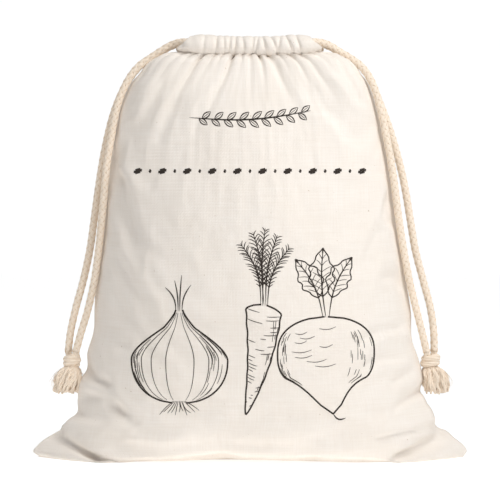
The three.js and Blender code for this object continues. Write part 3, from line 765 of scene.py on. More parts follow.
def slack_cloth(name, rest, faces, number):
    """The coarse wall as cloth. Number gives the place of each grid point in the mesh."""
    sheet = mesh_piece(f"{name}_slack_cloth", rest.reshape(-1, 3), faces)
    height = rest[:, :, 2]
    held = (height < held_below) | (height > held_above)
    held[:, [0, 1, -2, -1]] = True
    sheet.vertex_groups.new(name="held").add(number[held].tolist(), 1.0, "REPLACE")
    simulation = sheet.modifiers.new("Cloth", "CLOTH")
    simulation.point_cache.frame_end = settling_frames
    simulation.collision_settings.distance_min = contact_gap
    simulation.collision_settings.collision_quality = 3
    for setting, value in canvas_settings.items():
        setattr(simulation.settings, setting, value)
    return sheet


def settling_moves(name, grid, side):
    """How far each point of a wall moves when its cloth is slightly too large for the filling."""
    rows = np.arange(base_strips, grid.shape[0], coarse_step)
    columns = np.arange(0, grid.shape[1], coarse_step)
    rest = grid[np.ix_(rows, columns)]
    number = np.arange(rest[:, :, 0].size).reshape(rest.shape[:2])
    corners = [number[:-1, :-1], number[:-1, 1:], number[1:, 1:], number[1:, :-1]]
    faces = np.stack(corners, axis=-1).reshape(-1, 4)
    faces = (faces if side < 0 else faces[:, ::-1]).tolist()
    filling = filling_for(name, rest, faces, side)
    sheet = slack_cloth(name, rest, faces, number)
    for moment in range(1, settling_frames + 1):
        bpy.context.scene.frame_set(moment)
    settled = sheet.evaluated_get(bpy.context.evaluated_depsgraph_get()).data
    after = np.zeros(rest.size)
    settled.vertices.foreach_get("co", after)
    bpy.context.scene.frame_set(1)
    for scratch in (sheet, filling):
        scratch_mesh = scratch.data
        bpy.data.objects.remove(scratch)
        bpy.data.meshes.remove(scratch_mesh)
    move = after.reshape(rest.shape) - rest
    far = np.linalg.norm(move, axis=2)
    print(name, "cloth settles by", round(float(far.mean()) / mm, 2), "mm on the whole")
    move = move * (np.minimum(far, settling_reach) / np.maximum(far, 1e-9))[:, :, None]
    return on_fine_grid(move, rows, columns, grid.shape)


def on_fine_grid(move, rows, columns, shape):
    """Moves of the coarse grid carried to all points of the fine one, and smoothed."""
    fine = np.zeros(shape)
    for axis in range(3):
        wide = np.array([np.interp(np.arange(shape[1]), columns, line) for line in move[:, :, axis]])
        tall = [np.interp(np.arange(shape[0]), rows, line) for line in wide.T]
        fine[:, :, axis] = np.array(tall).T
    return relaxed(fine, np.full(shape[:2], 0.5), settling_smoothing)


# %% Panels
panels = {}
panel_grids = {}
panel_flats = {}
panel_folds = {"front": (-1, front_gathers, front_creases, front_tucks, 11),
               "back": (1, back_gathers, back_creases, back_tucks, 47)}
for name, (side, gathers, creases, tucks, seed) in panel_folds.items():
    grid = panel_wall(side, gathers, creases, tucks, seed)
    grid = grid + settling_moves(name, grid, side)
    normal = grid_normals(grid, side)
    normal[:base_strips + 1] = (0, 0, -1)
    panel_grids[name] = grid
    panels[name], panel_flats[name] = sheet_piece(f"{name}_cloth", grid, normal, side > 0)
    print(name, "panel:", len(panels[name].data.polygons), "faces, flat",
          [round(size / mm) for size in panel_flats[name]], "mm")

# %% [markdown]
# The hem is the top of the cloth turned over and sewn down, so that the cords have a sleeve to slide
# in. Seen end on it is a drop: round above, where the cords fill it, and pinched at the stitch line.
# The pinches line up with the valleys below, because one gathering makes both.

# %% Gathered hem
hem_radius = 8 * mm
hem_rows = 44
hem_columns = 250
hem_pinch = 1.6 * mm
# Share of the way across, how deep the pinch is, and how far it leans in share towards the top
pinch_columns = ("share", "depth", "lean")
front_pinches = [
    (0.135, 0.9, -0.030), (0.180, 0.5, -0.010), (0.232, 0.8, 0.006), (0.304, 1.2, 0.004),
    (0.350, 1.0, -0.004), (0.380, 1.3, 0.006), (0.415, 1.6, 0.002), (0.462, 1.3, -0.008),
    (0.515, 1.6, 0.004), (0.538, 1.3, 0.010), (0.584, 1.7, -0.016), (0.643, 1.4, -0.024),
    (0.667, 1.2, 0.008), (0.731, 1.5, -0.028), (0.784, 1.3, -0.020), (0.850, 0.8, 0.010),
    (0.905, 1.0, 0.024),
]
back_pinches = [
    (0.118, 0.9, 0.020), (0.163, 1.2, 0.010), (0.214, 0.8, -0.008), (0.262, 1.4, -0.014),
    (0.318, 1.0, 0.006), (0.352, 1.3, 0.012), (0.398, 1.5, -0.006), (0.440, 1.1, 0.004),
    (0.478, 1.6, -0.010), (0.529, 1.2, 0.008), (0.566, 1.5, 0.014), (0.620, 1.1, -0.006),
    (0.655, 1.4, -0.012), (0.706, 1.2, 0.010), (0.760, 1.5, 0.016), (0.812, 0.9, -0.010),
    (0.876, 1.1, -0.020),
]


def hem_grid(side, pinches, cut_back, seed):
    share = np.linspace(hem_first_share, 1 - hem_first_share, hem_columns + 1)[None, :]
    turn = np.linspace(-math.pi / 2, 3 * math.pi / 2, hem_rows + 1)[:, None]
    share, turn = np.broadcast_arrays(share, turn)
    rise = np.sin(turn)
    ends = smooth_between(np.abs(share - 0.5), 0.12, 0.5 - hem_first_share)
    share = share - np.sign(share - 0.5) * ends * (0.008 + cut_back * smooth_between(rise, -0.9, 0.9))
    bulge = 1.0 + 0 * share
    for row in pinches:
        pinch = dict(zip(pinch_columns, row))
        aside = (share - pinch["share"] - pinch["lean"] * rise) * mouth_half_length / mm
        bulge = bulge - pinch["depth"] * np.exp(-np.abs(aside / 1.35) ** 1.4)
    bulge = np.maximum(bulge, -0.45)
    front = np.cos(turn)
    low = smooth_between(rise, -0.2, -1.0)
    fall = np.where(front > 0, 0.42, 0.9) * low
    narrow = smooth_between(np.abs(share - 0.5), 0.27, 0.40)
    flat_front = np.where((front > 0) & (rise < 0), np.abs(front) ** 0.72, front)
    out = hem_radius * flat_front * (1 - fall) * (1 - 0.10 * narrow)
    out = out + hem_pinch * bulge * np.where(front > 0, 1, -0.5) * np.abs(front) ** 0.6
    level = hem_radius * rise * (1 - 0.26 * narrow)
    flatter = 1.0 * mm * smooth_between(np.abs(share - 0.5), 0.3, 0.1)
    level = level - flatter * smooth_between(rise, 0.2, 1)
    level = level + 0.5 * mm * (bulge - 0.7) * smooth_between(rise, 0.1, 1)
    level = level + 0.25 * mm * waves(seed, share * mouth_half_length, 0 * share, 26 * mm) \
        * smooth_between(rise, -0.6, 0.6)
    x, y, out_x, out_y = mouth_point(side, share)
    return np.stack([x + out * out_x, y + out * out_y, channel_level + level], axis=-1)


hems = {}
hem_grids = {}
for name, side, pinches, cut_back in (("front", -1, front_pinches, 0.060),
                                      ("back", 1, back_pinches, 0.03)):
    grid = hem_grid(side, pinches, cut_back, 90 + side)
    grid[-1] = grid[0] + np.array([0, side * -0.9 * mm, 0])
    normal = grid_normals(grid, side)
    hem_grids[name] = grid
    hems[name], size = sheet_piece(f"{name}_hem", grid, normal, side > 0)
    print(name, "hem: flat", [round(value / mm) for value in size], "mm")

# %% [markdown]
# A knot is modelled as the cord itself, wound in slanting turns round two short lengths of cord that
# go down through it. Pulled tight, the plait opens, so its bundles lie nearly side by side there.

# %% Knots
knot_width = 13.4 * mm
knot_height = 13 * mm
tight_cord_radius = 2.75 * mm
tight_cord_lay = 46 * mm
tight_bundles = 7
knot_looks = {
    "left": {"hand": -1, "turns": 2.2, "slant": 0.10, "wide": 1.0, "tall": 1.0, "start": 0.6},
    "right": {"hand": 1, "turns": 1.8, "slant": 0.26, "wide": 1.12, "tall": 0.92, "start": 2.4},
}
strand_ends = {
    "left": (Vector(left_front_strand[-1]), Vector(left_back_strand[-1])),
    "right": (Vector(right_front_strand[-1]), Vector(right_back_strand[-1])),
}


def tight_cord(pile, line):
    """Cord pulled tight in a knot: its bundles lie nearly side by side, with a slow twist."""
    radius = tight_cord_radius
    tangent, aside, upward = frames_along(line)
    reach = reach_along(line)
    thick = np.full(len(line), radius * 0.36)
    for bundle in range(tight_bundles):
        angle = 2 * math.pi * (reach / tight_cord_lay + bundle / tight_bundles)
        outward = np.cos(angle)[:, None] * aside + np.sin(angle)[:, None] * upward
        across = np.cross(tangent, outward)
        pile.add_tube(line + radius * 0.64 * outward, across, outward, thick * 1.12, thick, 8)
    pile.add_tube(line, aside, upward, thick * 1.6, thick * 1.6, 8)


knot_places = {}
knots = {}
for name, look in knot_looks.items():
    front_end, back_end = strand_ends[name]
    place = (front_end + back_end) / 2 - Vector((0, 0, knot_height / 2 + cord_gap))
    knot_places[name] = place
    pile = MeshPile()
    ring = knot_width / 2 * look["wide"] - 2.5 * mm
    lap = np.linspace(0, 1, 72)
    angle = look["start"] + look["hand"] * 2 * math.pi * look["turns"] * lap
    shrink = 1 - 0.30 * np.abs(2 * lap - 1) ** 4
    wound = np.stack([
        place.x + ring * shrink * np.cos(angle),
        place.y + 0.88 * ring * shrink * np.sin(angle),
        place.z + look["tall"] * 3.5 * mm * (1 - 2 * lap) + look["slant"] * ring * np.cos(angle),
    ], axis=1)
    tight_cord(pile, wound)
    for end in (front_end, back_end):
        inner_end = place + Vector((0.2 * (end.x - place.x), 0.4 * (end.y - place.y),
                                    -0.42 * knot_height))
        drop = np.linspace(0, 1, 14)[:, None]
        plait(pile, np.array(end) + drop * np.array(inner_end - end), 0.9)
    knots[name] = pile.piece(f"{name}_tied_knot")
    print(name, "knot:", len(pile.faces), "faces")

# %% [markdown]
# Below each knot the plait is undone and its yarns spring apart. Each of about sixty yarns is three
# thin plies that twist round each other. It leaves the knot, bends over and hangs, and a hundred or
# so loose fibres between them make the soft edge of a real tuft.

# %% Tufts
tuft_half_wide = 10.8 * mm
tuft_tall = 20.5 * mm
# The yarns of a tuft in rings from its middle out: how many there are, how far out their lower
# ends stand as a share of the half width, and how long they are as a share of the height
ring_columns = ("yarns", "out", "long")
tuft_rings = [(4, 0.15, 0.96), (9, 0.42, 1.00), (14, 0.70, 0.98), (19, 0.94, 0.93), (13, 1.02, 0.76)]
tuft_lean = 4.4 * mm
yarn_curl = 1.5 * mm
ply_radius = 0.74 * mm
fibre_radius = 0.075 * mm
fibre_count = 110


def add_yarn(pile, chance, top, lean, around, out, long, radius, plies, rings, sides):
    """A yarn that springs out under the knot, bends over and hangs with a curl at its end."""
    step = np.linspace(0, 1, rings)
    phase = chance.uniform(0, 2 * math.pi)
    flare = out * (1 - (1 - step) ** 2.4) * (1 - 0.14 * step ** 4)
    wobble = yarn_curl * np.sin(step * 6.0 + phase) * step
    centre = np.stack([
        top.x + lean * step + (2.0 * mm + flare) * math.cos(around) + wobble,
        top.y + (2.0 * mm + flare) * math.sin(around) + wobble * math.cos(phase),
        top.z - long * (0.22 * step + 0.78 * step ** 1.35),
    ], axis=1)
    tangent, aside, upward = frames_along(centre)
    narrow = radius * (0.85 + 0.3 * np.sin(math.pi * step) - 0.30 * step ** 5)
    for ply in range(plies):
        turn = phase + 2 * math.pi * (ply / plies + 2.4 * step * long / tuft_tall)
        off = (0.0 if plies == 1 else 0.9) * narrow
        line = centre + off[:, None] * (np.cos(turn)[:, None] * aside
                                        + np.sin(turn)[:, None] * upward)
        pile.add_tube(line, aside, upward, narrow, narrow, sides)


tufts = {}
for name, look in knot_looks.items():
    chance = random.Random(5 if name == "left" else 17)
    lean = look["hand"] * tuft_lean
    top = knot_places[name] - Vector((0, 0, knot_height / 2 - 2.6 * mm))
    pile = MeshPile()
    for row in tuft_rings:
        ring = dict(zip(ring_columns, row))
        for number in range(ring["yarns"]):
            around = 2 * math.pi * (number + chance.uniform(-0.25, 0.25)) / ring["yarns"]
            out = ring["out"] * (tuft_half_wide - 3.0 * mm) * chance.uniform(0.86, 1.06)
            long = ring["long"] * tuft_tall * chance.uniform(0.90, 1.04)
            add_yarn(pile, chance, top, lean, around, out, long, ply_radius, 3, 16, 6)
    for _ in range(fibre_count):
        around = chance.uniform(0, 2 * math.pi)
        out = tuft_half_wide * chance.uniform(0.3, 1.12)
        long = chance.uniform(0.55, 1.04) * tuft_tall
        add_yarn(pile, chance, top, lean, around, out, long, fibre_radius, 1, 9, 4)
    tufts[name] = pile.piece(f"{name}_frayed_tuft")
    print(name, "tuft:", len(pile.faces), "faces")

# %% [markdown]
# A lock stitch runs round the hem just above its lower edge. Each stitch is a short bit of thread
# that dips into the cloth at both ends, so it is modelled as a small bowed tube and repeated.

# %% Hem stitches
stitch_length = 2.7 * mm
stitch_pitch = 3.4 * mm
thread_radius = 0.24 * mm
stitches = {}
for name, side in (("front", -1), ("back", 1)):
    pile = MeshPile()
    row = round(hem_rows * 0.045)
    line = hem_grids[name][row]
    normal = grid_normals(hem_grids[name], side)[row]
    reach = reach_along(line)
    starts = np.arange(2 * mm, reach[-1] - stitch_length, stitch_pitch)
    for start in starts:
        at = start + np.linspace(0, stitch_length, 7)
        points = np.column_stack([np.interp(at, reach, line[:, axis]) for axis in range(3)])
        out = np.column_stack([np.interp(at, reach, normal[:, axis]) for axis in range(3)])
        bow = np.sin(np.linspace(0, math.pi, 7))[:, None]
        points = points + out * (bow * 0.34 - 0.16) * mm
        tangent, aside, upward = frames_along(points)
        thick = np.full(7, thread_radius)
        pile.add_tube(points, aside, upward, thick, thick, 6)
    stitches[name] = pile.piece(f"{name}_hem_stitches")
    print(name, "stitches:", len(starts))

# %% [markdown]
# The print is a line drawing in one dark ink. Ink is flat, so each drawn line is a thin ribbon that
# is laid on the cloth: its points are drawn in a plain upright plane and then found on the cloth by
# a ray from the front. A painted image would need a file, and ribbons stay sharp at any distance.

# %% Laying ink on the cloth
outer_count = panel_grids["front"].shape[0] * panel_grids["front"].shape[1]
outer_faces = sheet_faces(panel_grids["front"].shape[0] - 1, panel_columns, False)
outer_faces = outer_faces[(outer_faces < outer_count).all(axis=1)]
front_surface = BVHTree.FromPolygons(
    [Vector(point) for point in panel_grids["front"].reshape(-1, 3)], outer_faces.tolist())
ink_lift = 0.13 * mm
ink_step = 1.1
ink_end_wide = 0.22


class InkPile(MeshPile):
    """Collects ink ribbons. Points are in millimetres, across and up as seen from the front."""

    def on_cloth(self, x, z):
        place, normal, _, _ = front_surface.ray_cast(Vector((x * mm, -0.3, z * mm)), Vector((0, 1, 0)))
        return np.array(place), np.array(normal if normal.y < 0 else -normal)

    def line(self, points, wide):
        points = np.asarray(points, float)
        wide = np.broadcast_to(np.asarray(wide, float), len(points))
        reach = reach_along(points)
        even = np.linspace(0, reach[-1], max(3, round(reach[-1] / ink_step)) + 1)
        drawn = np.column_stack([np.interp(even, reach, points[:, axis]) for axis in (0, 1)])
        wide = np.interp(even, reach, wide)
        run = np.gradient(drawn, axis=0)
        run /= np.linalg.norm(run, axis=1)[:, None]
        aside = np.column_stack([-run[:, 1], run[:, 0]]) * wide[:, None] / 2
        first = len(self.vertices)
        places = []
        for middle, half in zip(drawn, aside):
            for edge in (middle + half, middle - half):
                place, normal = self.on_cloth(*edge)
                self.vertices += [place + normal * ink_lift, place - normal * 0.1 * mm]
                places += [edge * mm, edge * mm]
        for step in range(len(drawn) - 1):
            a = first + 4 * step
            for corners in ((0, 4, 6, 2), (1, 3, 7, 5), (0, 1, 5, 4), (2, 6, 7, 3)):
                self.faces.append(tuple(a + corner for corner in corners))
        last = first + 4 * (len(drawn) - 1)
        self.faces += [(first, first + 2, first + 3, first + 1), (last, last + 1, last + 3, last + 2)]
        count = sum(len(face) for face in self.faces) - len(self.corner_uvs)
        corners = [corner for face in self.faces[-4 * (len(drawn) - 1) - 2:] for corner in face]
        self.corner_uvs += [tuple(places[corner - first]) for corner in corners[-count:]]

    def tapered(self, points, wide):
        step = np.linspace(0, math.pi, len(points))
        self.line(points, ink_end_wide + (wide - ink_end_wide) * np.sin(step) ** 0.7)


def bow(start, end, belly, count=14):
    """A curved line from start to end that swells aside by belly."""
    start, end = np.array(start, float), np.array(end, float)
    run = end - start
    aside = np.array([-run[1], run[0]]) / np.linalg.norm(run)
    step = np.linspace(0, 1, count)[:, None]
    return start + run * step + aside * belly * np.sin(math.pi * step)


# %% An onion
ink = InkPile()
chance = random.Random(3)
onion_x, onion_z, onion_wide, onion_tall = -51, 76, 35, 31


def onion_side(hand, share, low=-0.97, high=0.98):
    """A line from the root up to the neck, at a share of the way out to one side."""
    rise = np.linspace(low, high, 48)
    inside = np.clip(np.abs(rise), 0, 1)
    lower = np.sqrt(1 - inside ** 2.3)
    upper = (1 - inside ** 1.7) ** 1.4
    half = onion_wide * share * (0.07 + 0.93 * np.where(rise < 0, lower, upper))
    level = onion_z + onion_tall * rise + 20 * np.clip(rise - 0.75, 0, 1)
    return np.column_stack([onion_x + hand * half, level])


for hand in (-1, 1):
    ink.line(onion_side(hand, 1.0, -0.997, 1.0), 1.15)
    for share in (0.30, 0.58, 0.80):
        wavy = onion_side(hand, share + chance.uniform(-0.04, 0.04), -0.93, 0.96)
        ink.tapered(wavy, 0.55)
    for _ in range(15):
        low = chance.uniform(-0.85, 0.2)
        share = chance.uniform(0.62, 0.97) if hand > 0 else chance.uniform(0.84, 0.97)
        ink.tapered(onion_side(hand, share, low, low + chance.uniform(0.15, 0.5)), 0.42)
neck_top = onion_z + onion_tall + 14
for lean, long in ((-6, 15), (-2, 20), (1, 24), (5, 17)):
    base = (onion_x + lean * 0.4, neck_top - 10)
    ink.tapered(bow(base, (onion_x + lean * 1.7, neck_top - 8 + long), lean * 0.4), 0.9)
for root in range(11):
    lean = (root - 5) * 1.5
    base = (onion_x + lean * 0.55, onion_z - onion_tall + 1.5)
    tip = (onion_x + lean * 1.9, onion_z - onion_tall - chance.uniform(5, 9))
    ink.tapered(bow(base, tip, chance.uniform(-1.6, 1.6)), 0.5)

# %% A carrot
carrot_top = np.array((10.0, 116.0))
carrot_tip = np.array((-3.0, 37.0))
carrot_half = 13.5
carrot_run = carrot_tip - carrot_top
carrot_aside = np.array([-carrot_run[1], carrot_run[0]]) / np.linalg.norm(carrot_run)


def carrot_place(along, aside):
    along = np.asarray(along, float)
    half = carrot_half * (1 - along) ** 0.72 * np.minimum(1, (along / 0.06 + 0.02) ** 0.5)
    half = half * (1 + 0.025 * np.sin(along * 41))
    bend = 3.0 * np.sin(math.pi * along)
    return carrot_top + np.outer(along, carrot_run) + np.outer(half * aside + bend, carrot_aside)


for hand in (-1, 1):
    ink.line(carrot_place(np.linspace(0.0, 1.0, 60), hand), 1.15)
for ring in range(26):
    along = 0.05 + 0.034 * ring + chance.uniform(-0.008, 0.008)
    start = chance.choice((-0.96, -0.96, 0.96, 0.30))
    end = start - math.copysign(chance.uniform(0.35, 0.95), start)
    share = np.linspace(start, end, 10)
    dip = along + 0.022 * (1 - share ** 2)
    rows = [carrot_place([a], s)[0] for a, s in zip(dip, share)]
    ink.tapered(rows, 0.5)
for _ in range(16):
    along = chance.uniform(0.1, 0.75)
    row = carrot_place(np.linspace(along, along + chance.uniform(0.04, 0.09), 6),
                       chance.uniform(0.6, 0.93))
    ink.tapered(row, 0.4)
for lean, long, belly in ((-17, 44, -5), (-8, 52, -3), (1, 55, 2), (10, 50, 3), (19, 41, 5)):
    stem = bow(carrot_top + (lean * 0.14, -0.5), carrot_top + (lean, long), belly, 20)
    ink.tapered(stem, 1.0)
    for leaf in range(5, 19):
        for hand in (-1, 1):
            turn = math.atan2(*(stem[leaf] - stem[leaf - 1])[::-1]) + hand * chance.uniform(0.6, 0.9)
            size = 6.4 * math.sin(math.pi * (leaf - 2) / 19) + chance.uniform(0.8, 1.8)
            tip = stem[leaf] + size * np.array((math.cos(turn), math.sin(turn)))
            ink.tapered(bow(stem[leaf], tip, -hand * 0.12 * size, 6), 0.62)

# %% A turnip
turnip_x, turnip_z, turnip_wide, turnip_tall = 55, 80, 34, 27


def turnip_side(hand, share, low=-1.0, high=1.0):
    """A line from the tail up to the leaves, at a share of the way out to one side."""
    rise = np.linspace(low, high, 44)
    up = np.sqrt(np.clip(1 - np.abs(rise) ** 2.6, 0, 1))
    tail = np.clip(-rise - 0.62, 0, 1) / 0.38
    half = turnip_wide * share * (up * (1 - 0.45 * tail) + 0.035 * (1 - tail ** 3))
    lift = turnip_z + turnip_tall * rise - 16 * tail ** 3
    return np.column_stack([turnip_x + hand * half + 5 * tail ** 3, lift])


for hand in (-1, 1):
    ink.line(turnip_side(hand, 1.0), 1.15)
    for _ in range(24):
        low = chance.uniform(-0.80, 0.45)
        share = chance.uniform(0.5, 0.97) if hand > 0 else chance.uniform(0.82, 0.97)
        ink.tapered(turnip_side(hand, share, low, low + chance.uniform(0.12, 0.34)), 0.42)
ink.tapered(bow((turnip_x + 5, turnip_z - turnip_tall - 16), (turnip_x + 14, 34), -2.4), 1.1)
for level in range(9):
    height = turnip_z - 8 + level * 3.3 + chance.uniform(-0.7, 0.7)
    start = turnip_x - chance.uniform(4, 27)
    ink.tapered(bow((start, height), (start + chance.uniform(8, 17), height + 1.2), -1.3), 0.45)
for lean, long, belly, wide in ((-20, 42, -4, 8.0), (-2, 50, 2, 9.0), (17, 43, 4, 8.0)):
    start = np.array((turnip_x + lean * 0.12, turnip_z + turnip_tall - 0.5))
    stem = bow(start, start + (lean, long), belly, 24)
    ink.tapered(stem, 1.0)
    run = np.gradient(stem, axis=0)
    run /= np.linalg.norm(run, axis=1)[:, None]
    side_way = np.column_stack([-run[:, 1], run[:, 0]])
    step = np.clip((np.arange(24) - 7) / 16, 0, 1)
    for hand in (-1, 1):
        swell = wide * np.sin(math.pi * step ** 0.85) * (1 + 0.16 * np.sin(step * 24))
        edge = stem + hand * side_way * swell[:, None]
        ink.line(edge[7:], 0.85)
        for vein in range(9, 22, 2):
            tip = stem[min(23, vein + 2)] + hand * side_way[vein] * swell[min(23, vein + 2)] * 0.8
            ink.tapered(bow(stem[vein], tip, -0.4 * hand, 6), 0.42)

# %% A sprig above and a row of seeds
sprig_left, sprig_right, sprig_z = -44, 44, 255
stem = bow((sprig_left, sprig_z - 4), (sprig_right, sprig_z + 1), -4, 40)
ink.tapered(stem, 1.1)
for leaf in range(3, 38, 4):
    for hand in (-1, 1):
        start = stem[leaf + (1 if hand > 0 else 0)]
        size = 9.5 - 0.09 * abs(leaf - 20)
        tip = start + size * np.array((0.78, 0.62 * hand))
        ink.tapered(bow(start, tip, 1.7, 12), 0.85)
        ink.tapered(bow(start, tip, -1.7, 12), 0.85)
        ink.tapered(bow(start, start + (tip - start) * 0.8, 0, 6), 0.4)
for seed in range(19):
    x = 9.1 * (seed - 9)
    small = seed % 2
    half = 1.0 if small else 3.1
    tall = 1.0 if small else 1.8
    for row in np.linspace(-0.8, 0.8, 3 if small else 4):
        reach = half * math.sqrt(1 - row ** 2)
        drawn = [(x + k * reach, 212 + row * tall + 0.25 * k * reach) for k in (-1, -0.4, 0.4, 1)]
        ink.line(drawn, 0.9)
printed = ink.piece("printed_drawing")
print("the print:", len(printed.data.polygons), "faces")

# %% [markdown]
# The cloth is unbleached cotton canvas: a plain weave of slightly uneven threads, cream with a few
# darker seed flecks, quite matt and a little furry. The weave is a height made of two sets of bands,
# warp and weft, that change over in a checker, which is what over and under looks like from above.

# %% One helper for nodes, one for colours
def linear(hex_colour):
    """An sRGB hex colour as the linear values that Blender's sockets take."""
    parts = [int(hex_colour[i:i + 2], 16) / 255 for i in (1, 3, 5)]
    return tuple(v / 12.92 if v <= 0.04045 else ((v + 0.055) / 1.055) ** 2.4 for v in parts) + (1,)


def add_node(tree, kind, settings, links):
    """A new node. Settings go to its sockets or its own options, and links give a source by socket."""
    node = tree.nodes.new(kind)
    for name, value in settings.items():
        if isinstance(name, int) or name in node.inputs:
            node.inputs[name].default_value = value
        else:
            setattr(node, name, value)
    for name, source in links.items():
        tree.links.new(source, node.inputs[name])
    return node


def new_material(name):
    material = bpy.data.materials.new(name)
    material.use_nodes = True
    return material, material.node_tree, material.node_tree.nodes["Principled BSDF"]


# %% Unbleached canvas
# Real threads are about 0.6 mm apart, which is less than a pixel. They are drawn 1.1 mm apart.
thread_pitch = 1.1 * mm
wave_scale = 2 * math.pi / 20 / thread_pitch


def weave_height(tree, surface):
    """Warp and weft bands that change over in a checker, from 0 in the gaps to 1 on a thread."""
    warp, weft = (add_node(tree, "ShaderNodeTexWave", {
        "wave_type": "BANDS", "bands_direction": direction, "Scale": wave_scale,
        "Distortion": 0.6, "Detail": 2, "Detail Scale": 0.6}, {"Vector": surface})
        for direction in ("X", "Y"))
    over = add_node(tree, "ShaderNodeTexChecker", {
        "Scale": 1 / thread_pitch, "Color1": (1, 1, 1, 1), "Color2": (0, 0, 0, 1)},
        {"Vector": surface})
    return add_node(tree, "ShaderNodeMix", {"data_type": "FLOAT"}, {
        0: over.outputs["Fac"], 2: weft.outputs["Fac"], 3: warp.outputs["Fac"]})


canvas, tree, shader = new_material("unbleached cotton canvas")
surface = add_node(tree, "ShaderNodeUVMap", {"uv_map": "surface"}, {}).outputs["UV"]
weave = weave_height(tree, surface)
thick_threads = []
for stretch in ((900, 38, 1), (30, 800, 1)):
    drawn_out = add_node(tree, "ShaderNodeMapping", {"Scale": stretch}, {"Vector": surface})
    thick_threads.append(add_node(tree, "ShaderNodeTexNoise", {"Scale": 1.0, "Detail": 2}, {
        "Vector": drawn_out.outputs["Vector"]}))
slubs = add_node(tree, "ShaderNodeMath", {"operation": "ADD"}, {
    0: thick_threads[0].outputs["Fac"], 1: thick_threads[1].outputs["Fac"]})
blotches = add_node(tree, "ShaderNodeTexNoise", {"Scale": 24, "Detail": 3}, {"Vector": surface})
specks = add_node(tree, "ShaderNodeTexNoise", {"Scale": 420, "Detail": 1}, {"Vector": surface})
fur = add_node(tree, "ShaderNodeTexNoise", {"Scale": 2600, "Detail": 2}, {"Vector": surface})
cream = add_node(tree, "ShaderNodeMapRange", {
    "From Min": 0.6, "From Max": 1.4, "To Min": 0.1, "To Max": 0.9}, {"Value": slubs.outputs["Value"]})
threads = add_node(tree, "ShaderNodeMix", {
    "data_type": "RGBA", 6: linear("#f1e8de"), 7: linear("#faf4ed")},
    {0: cream.outputs["Result"]})
blotch_share = add_node(tree, "ShaderNodeMapRange", {
    "From Min": 0.35, "From Max": 0.7, "To Min": 0, "To Max": 0.35}, {"Value": blotches.outputs["Fac"]})
warmer = add_node(tree, "ShaderNodeMix", {"data_type": "RGBA", 7: linear("#f3e9dd")}, {
    0: blotch_share.outputs["Result"], 6: threads.outputs[2]})
# The gaps between the threads are painted a little darker tan, as painted shade in the weave.
gap_shade_share = add_node(tree, "ShaderNodeMapRange", {
    "From Min": 0.0, "From Max": 0.45, "To Min": 0.14, "To Max": 0}, {"Value": weave.outputs[0]})
with_gap_shade = add_node(tree, "ShaderNodeMix", {"data_type": "RGBA", 7: linear("#d9c7ae")}, {
    0: gap_shade_share.outputs["Result"], 6: warmer.outputs[2]})
speck_share = add_node(tree, "ShaderNodeMapRange", {
    "From Min": 0.76, "From Max": 0.82, "To Min": 0, "To Max": 0.5}, {"Value": specks.outputs["Fac"]})
flecked = add_node(tree, "ShaderNodeMix", {"data_type": "RGBA", 7: linear("#a98a63")}, {
    0: speck_share.outputs["Result"], 6: with_gap_shade.outputs[2]})
tree.links.new(flecked.outputs[2], shader.inputs["Base Color"])
raised = add_node(tree, "ShaderNodeMath", {"operation": "MULTIPLY_ADD", 1: 0.35}, {
    0: slubs.outputs["Value"], 2: weave.outputs[0]})
furry = add_node(tree, "ShaderNodeMath", {"operation": "MULTIPLY_ADD", 1: 0.5}, {
    0: fur.outputs["Fac"], 2: raised.outputs["Value"]})
bump = add_node(tree, "ShaderNodeBump", {"Strength": 0.55, "Distance": 0.16 * mm}, {
    "Height": furry.outputs["Value"]})
tree.links.new(bump.outputs["Normal"], shader.inputs["Normal"])
shader.inputs["Roughness"].default_value = 0.92
shader.inputs["Specular IOR Level"].default_value = 0.2
shader.inputs["Sheen Weight"].default_value = 0.12
shader.inputs["Sheen Roughness"].default_value = 0.6

# %% [markdown]
# The cord is the same natural cotton in soft thick yarns. Each bundle is painted paler on its crown,
# as painted light, and painted tan down in the grooves, as painted shade. Fine slanting lines are its
# twisted yarns. The frayed ends are the same yarn opened up, so their grooves get hardly any painted
# shade.

# %% Plaited cotton yarn
yarn_pitch = 0.9 * mm


